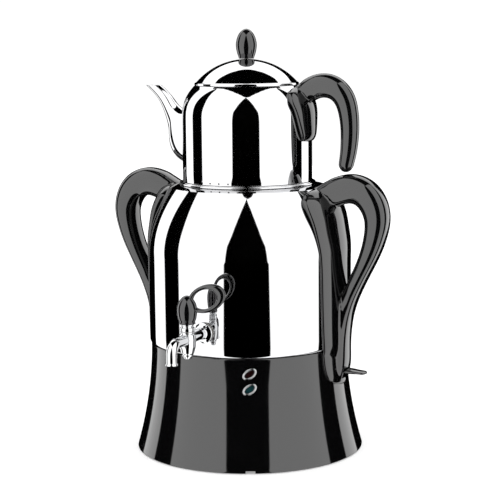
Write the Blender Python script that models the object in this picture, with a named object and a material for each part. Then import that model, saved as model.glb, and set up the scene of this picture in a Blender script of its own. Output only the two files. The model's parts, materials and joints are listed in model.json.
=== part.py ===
"""Electric samovar: a heated base, a steel boiler with a tap, and a teapot with its lid on top.

Metres, +Z up. The origin is the middle of the base plate's underside and the boiler's axis is Z.
The tap points to -Y, the boiler's handles stand at +X and -X, and the teapot's spout points to -X.
"""

import math

import bmesh
import bpy
from mathutils import Matrix, Vector

# How pieces meet, and how finely round ones are divided
CLEARANCE = 0.0003
CUT_OVERRUN = 0.004
BODY_SIDES = 32
POT_SIDES = 24
PLATE_SIDES = 28
GRIP_SIDES = 10
SMALL_SIDES = 14
SCREW_SIDES = 8
RING_BAND_SIDES = 8
PAD_STEPS = 4
WELD_DISTANCE = 1e-6

# Base moulding: a flared skirt under a deck that the boiler stands on
BASE_HEIGHT = 0.107
BASE_TOP_INSET = 0.0015
BASE_FLARE = 0.016
BASE_FLARE_POWER = 1.95
BASE_WALL = 0.0025
SKIRT_DROP = 0.0022
DECK_THICKNESS = 0.003
DECK_WIDTH = 0.024
BASE_RINGS = 7
BASE_INNER_RINGS = 4
NOTCH_WIDTH = 0.0094
NOTCH_HEIGHT = 0.0024
FRONT_PANEL_ANGLE = math.radians(25.5)

# Base plate, its screws in their posts, and the feet
PLATE_THICKNESS = 0.0025
PLATE_VENT_LENGTH = 0.024
PLATE_VENT_WIDTH = 0.004
PLATE_VENT_CIRCLE = 0.060
PLATE_VENTS = 6
POST_RADIUS = 0.0045
POST_INSET = 0.0115
PLATE_SCREW_RADIUS = 0.0015
PLATE_SCREW_HEAD_RADIUS = 0.0032
PLATE_SCREW_HEAD = 0.0018
PLATE_SCREW_GRIP = 0.010
FOOT_INSET = 0.002
FOOT_RADIUS = 0.0075
FOOT_STAND = 0.003
FOOT_STEM_RADIUS = 0.0026
FOOT_STEM_ABOVE = 0.0015
FOOT_TREAD_SHARE = 0.88
FOOT_EDGE_SHARE = 0.70

# Boiler: a drawn steel vessel
BOILER_RADIUS = 0.1015
BOILER_SHEET = 0.001
BOILER_CORNER = 0.003
BOILER_WALL_HEIGHT = 0.092
SHOULDER_HEIGHT = 0.066
SHOULDER_INSET = 0.0225
SHOULDER_POWER = 1.93
LAND_RISE = 0.0023
MOUTH_RADIUS = 0.060
BOILER_RINGS = 8
BOILER_INNER_RINGS = 4

# Seat ring in the boiler's mouth
SEAT_BEAD_RADIUS = 0.069
SEAT_BEAD_HEIGHT = 0.0022
SEAT_BEAD_ROUND = 0.0008
SEAT_STEP_INSET = 0.0018
SEAT_STEP_HEIGHT = 0.0005
SEAT_LIP_HEIGHT = 0.0042
SEAT_LIP_WALL = 0.0014
SEAT_SKIRT_DEPTH = 0.0053
SEAT_SKIRT_WALL = 0.0012

# Heater under the boiler's floor
HEAT_PLATE_INSET = 0.006
HEAT_PLATE_THICKNESS = 0.006
ELEMENT_RADIUS = 0.0035
ELEMENT_RING_RADIUS = 0.046
ELEMENT_GAP_ANGLE = math.radians(50)
ELEMENT_LEG = 0.018
ELEMENT_STATIONS = 16
ELEMENT_SIDES = 8
THERMOSTAT_RADIUS = 0.009
THERMOSTAT_HEIGHT = 0.007
CUTOUT_LENGTH = 0.016
CUTOUT_WIDTH = 0.008
CUTOUT_HEIGHT = 0.006
CUTOUT_PLACE = 0.024
TERMINAL_LENGTH = 0.030
TERMINAL_WIDTH = 0.014
TERMINAL_HEIGHT = 0.012
TERMINAL_PLACE = 0.045

# Welded studs under the boiler and their nuts under the deck
STUD_INSET = 0.015
STUD_RADIUS = 0.002
STUD_LENGTH = 0.010
NUT_RADIUS = 0.0044
NUT_HEIGHT = 0.0032
NUT_SIDES = 12

# Boiler handles: a pad that hugs boiler and base, and a grip that loops away from it
HANDLE_FOOT_DROP = 0.038
GRIP_ABOVE_SHOULDER = 0.0015
GRIP_REACH = 0.0389
GRIP_DEPTH = 0.0288
GRIP_WIDTH = 0.030
PAD_HALF_ANGLE = math.radians(27)
PAD_CROWN = 0.011
PAD_EDGE = 0.0053
PAD_SINK = 0.003
HANDLE_SCREW_RADIUS = 0.002
HANDLE_SCREW_HEAD_RADIUS = 0.004
HANDLE_SCREW_HEAD = 0.0024
HANDLE_SCREW_BITE = 0.0040
HANDLE_SCREW_DROP = 0.009
HANDLE_SCREW_UP_SHARE = 0.71

# Rounding of a screw's head: share of its radius and of its depth
SCREW_HEAD_SHARES = (
    (0.80, 1.00),
    (1.00, 0.60),
)

# Grip centre line from shoulder to foot: out of the wall, up from the foot, depth, width
GRIP_SHARES = (
    (-0.656, 0.916, 0.903, 1.000),
    (-0.296, 0.959, 0.955, 0.983),
    (0.039, 0.987, 0.990, 0.950),
    (0.347, 0.995, 1.000, 0.933),
    (0.656, 0.974, 0.972, 0.933),
    (0.895, 0.919, 0.913, 0.933),
    (0.995, 0.846, 0.819, 0.917),
    (0.959, 0.775, 0.729, 0.900),
    (0.851, 0.699, 0.646, 0.883),
    (0.643, 0.603, 0.556, 0.867),
    (0.373, 0.496, 0.531, 0.867),
    (0.167, 0.395, 0.528, 0.900),
    (0.054, 0.289, 0.535, 0.950),
    (0.013, 0.177, 0.542, 1.000),
    (-0.013, 0.071, 0.521, 1.000),
    (-0.023, 0.018, 0.310, 0.730),
)

# Pad from foot to shoulder: up from the foot, half angle, crown, edge
PAD_SHARES = (
    (0.010, 0.22, 0.32, 0.23),
    (0.025, 0.41, 0.41, 0.25),
    (0.051, 0.54, 0.47, 0.28),
    (0.101, 0.64, 0.50, 0.28),
    (0.192, 0.69, 0.50, 0.28),
    (0.344, 0.73, 0.50, 0.28),
    (0.496, 0.75, 0.50, 0.28),
    (0.648, 0.78, 0.50, 0.30),
    (0.724, 0.83, 0.545, 0.38),
    (0.800, 0.89, 0.64, 0.57),
    (0.851, 0.94, 0.80, 0.81),
    (0.896, 0.985, 0.91, 0.94),
    (0.932, 1.00, 0.98, 1.00),
    (0.957, 0.955, 1.00, 0.98),
    (0.977, 0.78, 0.91, 0.85),
    (0.990, 0.48, 0.73, 0.57),
)

# Tap: heights and reaches are measured from where its bore crosses the key's axis
TAP_ABOVE_BASE = 0.025
TAP_STANDOFF = 0.0341
TAP_FLANGE_RADIUS = 0.0101
TAP_FLANGE_THICKNESS = 0.0028
TAP_GASKET_THICKNESS = 0.0012
TAP_SHANK_RADIUS = 0.0055
TAP_SHANK_INSIDE = 0.011
TAP_NUT_RADIUS = 0.010
TAP_NUT_THICKNESS = 0.004
TAP_BARREL_RADIUS = 0.0073
TAP_BARREL_TOP = 0.0078
TAP_BARREL_DROP = 0.0115
TAP_CAP_RADIUS = 0.0053
TAP_CAP_DROP = 0.019
TAP_GLAND_HEIGHT = 0.0068
TAP_BORE_RADIUS = 0.0030
TAP_PLUG_RADIUS = 0.0043
TAP_PLUG_DROP = 0.010
TAP_PLUG_RISE = 0.022
NOZZLE_REACH = 0.0321
NOZZLE_RADIUS = 0.0053
NOZZLE_LIP_RADIUS = 0.0061
NOZZLE_LIP_HEIGHT = 0.0012
NOZZLE_DROP = 0.0184
NOZZLE_BORE_RADIUS = 0.0036
ELBOW_RADIUS = 0.009
ELBOW_STEPS = 5
GASKET_SHARE = 0.94
NUT_FLAT_SHARE = 1.02

# Tap's flange, front edge: share of its radius and of its thickness
TAP_FLANGE_SHARES = (
    (1.00, 0.00),
    (0.96, 0.67),
    (0.70, 1.00),
)

# Domed cap under the barrel: share of its radius outwards and upwards
TAP_CAP_SHARES = (
    (0.55, 0.12),
    (1.00, 0.60),
)

# Barrel below and above the bore: share of its radius, and of its drop or its top
TAP_BARREL_DROP_SHARES = (
    (0.86, 1.00),
    (1.00, 0.68),
    (1.12, 0.00),
)
TAP_BARREL_TOP_SHARES = (
    (1.00, 0.70),
    (0.90, 1.00),
)

# Gland: share of the barrel's radius and of its own height
TAP_GLAND_SHARES = (
    (0.95, 0.00),
    (0.95, 0.55),
    (0.84, 0.62),
    (0.84, 1.00),
)

# Tap key: an egg with an oval ring for a lever
KEY_RADIUS = 0.00965
KEY_HEIGHT = 0.027
KEY_RING_LENGTH = 0.038
KEY_RING_HEIGHT = 0.0262
KEY_RING_REACH = 0.0195
KEY_RING_RISE = 0.0246
KEY_RING_NEAR_BAND = 0.0050
KEY_RING_FAR_BAND = 0.0086
KEY_RING_SIDE_BAND = 0.0042
KEY_RING_THICKNESS = 0.0062
KEY_RING_TILT = math.radians(22)
KEY_REST_ANGLE = math.radians(11.5)
KEY_RING_STATIONS = 20

# Egg outline shared by both knobs: radius and height
EGG_SHARES = (
    (0.83, 0.00),
    (0.79, 0.05),
    (0.86, 0.13),
    (0.95, 0.27),
    (1.00, 0.44),
    (0.96, 0.61),
    (0.79, 0.78),
    (0.52, 0.91),
    (0.27, 0.975),
    (0.00, 1.00),
)

# Lamps in the front of the base, placed by their drop below its top
LAMP_DROPS = (0.0145, 0.0295)
LAMP_LONG = 0.0075
LAMP_SHORT = 0.0047
LAMP_TILT = math.radians(33)
LAMP_RIM = 0.0016
LAMP_BARREL_INSET = 0.0008
LAMP_PROUD = 0.0011
LAMP_DEPTH = 0.0052
LAMP_LENS_PROUD = 0.0006
LAMP_LENS_FACE_SHARE = 0.70
LAMP_HOLDER_WIDTH = 0.024
LAMP_HOLDER_HEIGHT = 0.034
LAMP_HOLDER_DEPTH = 0.009

# On/off paddle and its housing behind the right-hand handle's foot
SWITCH_DROP = 0.024
SWITCH_PIVOT_INSET = 0.012
SWITCH_REACH = 0.0281
SWITCH_TAIL = 0.006
SWITCH_HALF_WIDTH = 0.0075
SWITCH_HALF_THICKNESS = 0.0026
SWITCH_DROOP = 0.0009
SWITCH_SLOT_WIDTH = 0.0166
SWITCH_SLOT_HEIGHT = 0.0104
SWITCH_SLOT_DROP = 0.0016
SWITCH_PIN_RADIUS = 0.0012
SWITCH_HOUSING_WIDTH = 0.024
SWITCH_HOUSING_HEIGHT = 0.019
SWITCH_HOUSING_DEPTH = 0.026
SWITCH_HOUSING_WALL = 0.0024
PADDLE_SIDES = 12

# Paddle from its tail to its tip: along, half width, half thickness, droop
PADDLE_SHARES = (
    (0.00, 0.66, 0.80, 0.0),
    (0.24, 0.80, 0.95, 0.0),
    (0.50, 1.00, 1.00, 0.1),
    (0.72, 1.00, 0.86, 0.5),
    (0.88, 0.86, 0.66, 0.8),
    (0.97, 0.56, 0.42, 1.0),
    (1.00, 0.22, 0.18, 1.0),
)

# Power inlet at the back
INLET_HEIGHT = 0.032
INLET_WIDTH = 0.030
INLET_TALL = 0.024
INLET_DEPTH = 0.030
INLET_PROUD = 0.0045
INLET_WALL = 0.003
INLET_RECESS = 0.017
INLET_PIN_LENGTH = 0.012
INLET_PIN_WIDTH = 0.002
INLET_PIN_TALL = 0.004
INLET_PIN_SPREAD = 0.007
INLET_PIN_LIFT = 0.003

# Teapot: heights are measured from the lower edge of its foot skirt
POT_RADIUS = 0.0655
POT_SHEET = 0.001
POT_WALL_HEIGHT = 0.0614
POT_SHOULDER_HEIGHT = 0.034
POT_SHOULDER_POWER = 2.6
POT_MOUTH_RADIUS = 0.0475
POT_RIM_LAND = 0.0053
POT_RINGS = 6
POT_SKIRT_HEIGHT = 0.008
POT_VENT_RADIUS = 0.0009
POT_VENT_HEIGHT = 0.0019
POT_VENT_SPACING = math.radians(8.6)
POT_VENTS_IN_GROUP = 5
POT_VENT_GROUPS = 2
STRAINER_HOLE_RADIUS = 0.0016
STRAINER_PITCH = 0.0062
STRAINER_ROWS = 3
STRAINER_RISE_SHARE = 0.34

# Spout: a goose neck welded to the teapot's wall
SPOUT_REACH = 0.0494
SPOUT_FOOT_HEIGHT = 0.0155
SPOUT_RISE = 0.0795
SPOUT_HALF_WIDTH = 0.015
SPOUT_SHEET = 0.0010
SPOUT_SINK = 0.008

# Spout sections from the wall to the mouth: lower point out and up, upper point out and up, half width
SPOUT_SHARES = (
    (-0.162, -0.010, -0.162, 0.685, 1.00),
    (0.100, 0.010, 0.010, 0.684, 1.00),
    (0.300, 0.088, 0.120, 0.690, 0.97),
    (0.408, 0.214, 0.192, 0.711, 0.87),
    (0.425, 0.352, 0.253, 0.739, 0.76),
    (0.462, 0.478, 0.314, 0.780, 0.65),
    (0.530, 0.604, 0.385, 0.837, 0.55),
    (0.623, 0.736, 0.476, 0.900, 0.47),
    (0.765, 0.863, 0.587, 0.963, 0.42),
    (1.000, 1.000, 0.666, 1.000, 0.42),
)

# Teapot handle: a pad on the wall and an open hook
HOOK_REACH = 0.0457
HOOK_TIP_HEIGHT = 0.0160
HOOK_RISE = 0.0780
HOOK_DEPTH = 0.0236
HOOK_WIDTH = 0.020
HOOK_PAD_HALF_ANGLE = math.radians(24)
HOOK_PAD_CROWN = 0.0078
HOOK_PAD_EDGE = 0.0045
HOOK_BOLT_RADIUS = 0.002
HOOK_BOLT_HEAD_RADIUS = 0.0042
HOOK_BOLT_HEAD = 0.0022
HOOK_BOLT_BITE = 0.0050
HOOK_BOLT_SHARE = 0.62

# Hook centre line from the wall to the tip: out, up, depth, width
HOOK_SHARES = (
    (-0.164, 0.846, 0.93, 1.00),
    (-0.011, 0.928, 0.97, 1.00),
    (0.208, 1.001, 1.00, 1.00),
    (0.492, 1.018, 1.00, 0.99),
    (0.711, 0.966, 0.95, 0.97),
    (0.875, 0.857, 0.89, 0.94),
    (0.963, 0.703, 0.83, 0.91),
    (1.000, 0.510, 0.77, 0.88),
    (0.991, 0.318, 0.72, 0.84),
    (0.956, 0.151, 0.66, 0.78),
    (0.912, 0.048, 0.58, 0.70),
    (0.897, 0.009, 0.34, 0.42),
)

# Hook pad from its lower end to the shoulder: up, half angle, crown, edge
HOOK_PAD_SHARES = (
    (0.320, 0.34, 0.45, 0.40),
    (0.338, 0.47, 0.72, 0.62),
    (0.375, 0.53, 0.90, 0.85),
    (0.450, 0.62, 1.00, 1.00),
    (0.600, 0.78, 1.00, 1.00),
    (0.750, 0.94, 1.00, 1.00),
    (0.830, 1.00, 1.00, 1.00),
    (0.900, 0.96, 1.00, 0.95),
    (0.955, 0.78, 0.95, 0.80),
    (0.985, 0.48, 0.75, 0.55),
)

# Lid: heights are measured from the teapot's rim
LID_LAP = 0.005
LID_SHEET = 0.001
LID_RIM_HEIGHT = 0.0024
LID_RIM_ROUND = 0.0006
LID_RIM_STEP = 0.0016
LID_DOME_RADIUS = 0.068
LID_SKIRT_DEPTH = 0.0065
LID_DOME_RINGS = 6
LID_INNER_RINGS = 4
KNOB_RADIUS = 0.0105
KNOB_HEIGHT = 0.0297
KNOB_SCREW_RADIUS = 0.002
KNOB_SCREW_BITE = 0.010
KNOB_SCREW_HEAD_RADIUS = 0.0045
KNOB_SCREW_HEAD = 0.0024

# Radii that follow from the sizes above
BASE_TOP_RADIUS = BOILER_RADIUS - BASE_TOP_INSET
DECK_OPENING_RADIUS = BASE_TOP_RADIUS - DECK_WIDTH
POST_CIRCLE = BASE_TOP_RADIUS - POST_INSET
FOOT_CIRCLE = BASE_TOP_RADIUS - FOOT_INSET
STUD_CIRCLE = BASE_TOP_RADIUS - STUD_INSET
HEAT_PLATE_RADIUS = DECK_OPENING_RADIUS - HEAT_PLATE_INSET

# Heights that follow from the sizes above
BOILER_FLOOR = BASE_HEIGHT + CLEARANCE
SHOULDER_START = BOILER_FLOOR + BOILER_WALL_HEIGHT
SHOULDER_TOP = SHOULDER_START + SHOULDER_HEIGHT
LAND_RADIUS = SEAT_BEAD_RADIUS
LAND_HEIGHT = SHOULDER_TOP + LAND_RISE
SEAT_BASE = LAND_HEIGHT + CLEARANCE
SEAT_TOP = SEAT_BASE + SEAT_BEAD_HEIGHT + SEAT_STEP_HEIGHT
POT_BASE = SEAT_TOP + CLEARANCE
POT_RIM = POT_WALL_HEIGHT + POT_SHOULDER_HEIGHT
POT_RIM_RADIUS = POT_MOUTH_RADIUS + POT_RIM_LAND
POT_SHOULDER_INSET = POT_RADIUS - POT_RIM_RADIUS
LID_RADIUS = POT_MOUTH_RADIUS + LID_LAP
TAP_AXIS_OUT = BOILER_RADIUS + TAP_STANDOFF
TAP_HEIGHT = BASE_HEIGHT + TAP_ABOVE_BASE
LAMP_HEIGHTS = tuple(BASE_HEIGHT - drop for drop in LAMP_DROPS)
SWITCH_HEIGHT = BASE_HEIGHT - SWITCH_DROP
HANDLE_FOOT_HEIGHT = BASE_HEIGHT - HANDLE_FOOT_DROP
HANDLE_RISE = SHOULDER_TOP + GRIP_ABOVE_SHOULDER - HANDLE_FOOT_HEIGHT
FACET_SHARE = 1 - math.cos(math.pi / BODY_SIDES)


class Finish:
    """A named material, made once and shared by every piece that has it."""

    def __init__(self, name, colour, roughness, metallic):
        self.material = bpy.data.materials.new(name)
        self.material.use_nodes = True
        shader = self.material.node_tree.nodes["Principled BSDF"]
        shader.inputs["Base Color"].default_value = (*colour, 1)
        shader.inputs["Roughness"].default_value = roughness
        shader.inputs["Metallic"].default_value = metallic
        self.material.diffuse_color = (*colour, 1)


def finishes():
    """Every finish that the samovar has."""
    return {
        "steel": Finish("mirror_steel", (0.80, 0.80, 0.81), 0.05, 1.0),
        "chrome": Finish("bright_chrome", (0.86, 0.87, 0.88), 0.04, 1.0),
        "black": Finish("gloss_black_plastic", (0.012, 0.012, 0.014), 0.08, 0.0),
        "dull": Finish("dark_plastic", (0.03, 0.03, 0.03), 0.5, 0.0),
        "rubber": Finish("black_rubber", (0.02, 0.02, 0.02), 0.8, 0.0),
        "zinc": Finish("zinc_plated_steel", (0.60, 0.60, 0.58), 0.35, 1.0),
        "aluminium": Finish("cast_aluminium", (0.70, 0.70, 0.70), 0.4, 1.0),
        "brass": Finish("plain_brass", (0.72, 0.55, 0.25), 0.3, 1.0),
        "silicone": Finish("pale_silicone", (0.75, 0.72, 0.68), 0.6, 0.0),
        "amber": Finish("dark_red_lens", (0.20, 0.05, 0.03), 0.1, 0.0),
        "green": Finish("green_lens", (0.03, 0.30, 0.28), 0.1, 0.0),
    }


def piece(name, mesh_maker, finish, place=None, parent=None, crease=math.radians(35)):
    """One named solid: a bmesh turned into an object, placed by its matrix and shaded smooth."""
    data = bpy.data.meshes.new(name)
    bmesh.ops.recalc_face_normals(mesh_maker, faces=mesh_maker.faces)
    mesh_maker.to_mesh(data)
    mesh_maker.free()
    data.shade_smooth()
    data.set_sharp_from_angle(angle=crease)
    made = bpy.data.objects.new(name, data)
    bpy.context.scene.collection.objects.link(made)
    if parent is not None:
        made.parent = parent
    made.matrix_local = place if place is not None else Matrix()
    if finish is not None:
        data.materials.append(finish.material)
    return made


def guide(name, mesh_maker, place=None, parent=None):
    """A cutter or a shape to be joined: hidden from the render and drawn as wires."""
    made = piece(name, mesh_maker, None, place, parent)
    made.hide_render = True
    made.display_type = "WIRE"
    return made


def pivot(name, point, parent=None):
    """An empty that carries moving pieces and stands on their joint's axis."""
    made = bpy.data.objects.new(name, None)
    bpy.context.scene.collection.objects.link(made)
    made.parent = parent
    made.location = point
    return made


def shape_with(target, operation, tools):
    """Adds one Boolean modifier for each tool."""
    for tool in tools:
        change = target.modifiers.new(f"{operation.lower()}_{tool.name}", "BOOLEAN")
        change.operation = operation
        change.object = tool
        change.solver = "EXACT"


def cut(target, *tools):
    """Takes the tools' volume out of the target."""
    shape_with(target, "DIFFERENCE", tools)


def join(target, *tools):
    """Adds the tools' volume to the target."""
    shape_with(target, "UNION", tools)


def turned(profile, sides, closed=False):
    """A profile of (radius, height) points spun about Z; it ends on the axis, or it is a closed ring."""
    maker = bmesh.new()
    corners = [maker.verts.new((radius, 0, height)) for radius, height in profile]
    edges = [maker.edges.new(pair) for pair in zip(corners, corners[1:])]
    if closed:
        edges.append(maker.edges.new((corners[-1], corners[0])))
    bmesh.ops.spin(
        maker,
        geom=corners + edges,
        cent=(0, 0, 0),
        axis=(0, 0, 1),
        angle=2 * math.pi,
        steps=sides,
        use_merge=True,
        use_duplicate=False,
    )
    bmesh.ops.remove_doubles(maker, verts=maker.verts, dist=WELD_DISTANCE)
    return maker


def skinned(rings, looped=False):
    """Joins rings of equally many points into one skin, capped at both ends unless it is looped."""
    maker = bmesh.new()
    rows = [[maker.verts.new(point) for point in ring] for ring in rings]
    count = len(rows[0])
    pairs = list(zip(rows, rows[1:]))
    if looped:
        pairs.append((rows[-1], rows[0]))
    for lower, upper in pairs:
        for index in range(count):
            after = (index + 1) % count
            maker.faces.new((lower[index], lower[after], upper[after], upper[index]))
    if not looped:
        maker.faces.new(rows[0])
        maker.faces.new(rows[-1])
    return maker


def round_bar(radius, low, high, sides=SMALL_SIDES):
    """A plain turned bar along Z."""
    return turned([(0, low), (radius, low), (radius, high), (0, high)], sides)


def block(width, depth, height):
    """A block with its middle at the origin."""
    maker = bmesh.new()
    bmesh.ops.create_cube(maker, size=1, matrix=Matrix.Diagonal((width, depth, height, 1)))
    return maker


def oval(half_long, half_short, height, sides=SMALL_SIDES):
    """One oval ring of points at a height."""
    turns = [2 * math.pi * index / sides for index in range(sides)]
    return [Vector((half_long * math.cos(turn), half_short * math.sin(turn), height)) for turn in turns]


def tube(path, radii, sides):
    """A round bar whose sections stand square to a path of points in one plane or another."""
    rings = []
    side = None
    for index, point in enumerate(path):
        before = path[max(index - 1, 0)]
        after = path[min(index + 1, len(path) - 1)]
        forward = (after - before).normalized()
        if side is None:
            side = forward.orthogonal().normalized()
        side = (side - forward * side.dot(forward)).normalized()
        up = forward.cross(side)
        turns = [2 * math.pi * step / sides for step in range(sides)]
        radius = radii[index]
        rings.append([point + side * radius * math.cos(turn) + up * radius * math.sin(turn) for turn in turns])
    return skinned(rings)


def disc(radius, low, thickness, sides):
    """A flat round plate on the Z axis, its facets in line with those of a turned wall."""
    high = low + thickness
    return turned([(0, low), (radius, low), (radius, high), (0, high)], sides)


def along(direction):
    """The rotation that turns +Z to a direction."""
    return Vector(direction).to_track_quat("Z", "Y").to_matrix().to_4x4()


def around(angle):
    """The direction at an angle from +X about Z."""
    return Vector((math.cos(angle), math.sin(angle), 0))


def base_radius(height):
    """Outer radius of the base at a height: the flare dies away towards the deck."""
    share = (height + SKIRT_DROP) / (BASE_HEIGHT + SKIRT_DROP)
    return BASE_TOP_RADIUS + BASE_FLARE * max(1 - share, 0) ** BASE_FLARE_POWER


def shoulder_radius(height):
    """Outer radius of the boiler's domed shoulder at a height."""
    share = min(max((height - SHOULDER_START) / SHOULDER_HEIGHT, 0), 1)
    return BOILER_RADIUS - SHOULDER_INSET * share**SHOULDER_POWER


def wall_radius(height):
    """Outer radius of base and boiler at a height, which the handles follow."""
    return base_radius(height) if height < BASE_HEIGHT else shoulder_radius(height)


def pot_radius(height):
    """Outer radius of the teapot at a height above its foot."""
    share = min(max((height - POT_WALL_HEIGHT) / POT_SHOULDER_HEIGHT, 0), 1)
    return POT_RADIUS - POT_SHOULDER_INSET * share**POT_SHOULDER_POWER


def heights(low, high, count):
    """Evenly spaced heights from low to high."""
    return [low + (high - low) * index / count for index in range(count + 1)]


def base_outline(steps=BASE_RINGS):
    """The base's outer face from rim to deck."""
    return [(base_radius(height), height) for height in heights(-SKIRT_DROP, BASE_HEIGHT, steps)]


def boiler_outline(steps=BOILER_RINGS):
    """The boiler's outer face from the corner at its floor to the edge of its mouth."""
    corner = [
        (
            BOILER_RADIUS - BOILER_CORNER * (1 - math.sin(turn)),
            BOILER_FLOOR + BOILER_CORNER * (1 - math.cos(turn)),
        )
        for turn in (0, math.pi / 4, math.pi / 2)
    ]
    shoulder = [(shoulder_radius(height), height) for height in heights(SHOULDER_START, SHOULDER_TOP, steps)]
    return corner + shoulder + [(LAND_RADIUS, LAND_HEIGHT)]


def inset(outline, wall):
    """The same outline moved inwards, square to its own run, by a wall's thickness."""
    moved = []
    for index, (radius, height) in enumerate(outline):
        before = outline[max(index - 1, 0)]
        after = outline[min(index + 1, len(outline) - 1)]
        run = Vector((after[0] - before[0], after[1] - before[1])).normalized()
        moved.append((radius - run.y * wall, height + run.x * wall))
    return moved


def body_envelope(name, clearance):
    """Base, boiler and seat ring as one plain body with a clearance, for cutting what leans on them."""
    base = [(radius + clearance, height) for radius, height in base_outline()]
    boiler = [(radius + clearance, height + clearance) for radius, height in boiler_outline()[2:]]
    bead = SEAT_BEAD_RADIUS + clearance
    profile = [(0, base[0][1] - CUT_OVERRUN), (base[0][0], base[0][1] - CUT_OVERRUN)]
    profile += base[:-1] + [(base[-1][0], BASE_HEIGHT - clearance), (boiler[0][0], BASE_HEIGHT - clearance)]
    profile += boiler[:-1] + [(bead, boiler[-1][1]), (bead, SEAT_TOP + CUT_OVERRUN)]
    profile += [(0, SEAT_TOP + CUT_OVERRUN)]
    return guide(name, turned(profile, BODY_SIDES))


def wall_place(angle, height, lean=0.0):
    """A place on the base's wall: X along the wall, Y up it and Z out of it."""
    out = around(angle)
    turn = Matrix((Vector((-out.y, out.x, 0)), Vector((0, 0, 1)), out)).transposed().to_4x4()
    return Matrix.Translation(out * base_radius(height) + Vector((0, 0, height))) @ turn @ Matrix.Rotation(
        lean, 4, "Z"
    )


def make_base(finish, panel):
    """Base moulding with its deck, posts, lamp holes, switch slot, inlet hole and rim notch."""
    outer = base_outline()
    inner = [
        (radius - BASE_WALL, height)
        for radius, height in base_outline(BASE_INNER_RINGS)
        if height < BASE_HEIGHT - DECK_THICKNESS
    ]
    deck_under = BASE_HEIGHT - DECK_THICKNESS
    inner += [(base_radius(deck_under) - BASE_WALL, deck_under), (DECK_OPENING_RADIUS, deck_under)]
    profile = outer + [(DECK_OPENING_RADIUS, BASE_HEIGHT)] + inner[::-1]
    shell = piece("base_shell", turned(profile, BODY_SIDES, closed=True), finish["black"])

    for index in range(4):
        spot = around(math.pi / 4 + index * math.pi / 2) * POST_CIRCLE
        foot = PLATE_THICKNESS + CLEARANCE
        post = guide(
            f"join_post_{index + 1}",
            round_bar(POST_RADIUS, foot, deck_under + DECK_THICKNESS / 2, SCREW_SIDES),
            Matrix.Translation(spot),
        )
        join(shell, post)
        bore = guide(
            f"cut_post_bore_{index + 1}",
            round_bar(PLATE_SCREW_RADIUS + CLEARANCE, 0, foot + PLATE_SCREW_GRIP + CLEARANCE, SCREW_SIDES),
            Matrix.Translation(spot),
        )
        cut(shell, bore)

    notch = guide(
        "cut_rim_notch",
        block(NOTCH_WIDTH, 4 * BASE_WALL, 2 * NOTCH_HEIGHT),
        Matrix.Translation(panel * (base_radius(0) - BASE_WALL / 2) - Vector((0, 0, SKIRT_DROP)))
        @ Matrix.Rotation(FRONT_PANEL_ANGLE, 4, "Z"),
    )
    cut(shell, notch)

    for index in range(3):
        spot = around(math.pi / 2 + index * 2 * math.pi / 3) * STUD_CIRCLE
        hole = guide(
            f"cut_stud_hole_{index + 1}",
            round_bar(STUD_RADIUS + CLEARANCE, deck_under - CUT_OVERRUN, BASE_HEIGHT + CUT_OVERRUN, SCREW_SIDES),
            Matrix.Translation(spot),
        )
        cut(shell, hole)
    return shell


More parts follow.
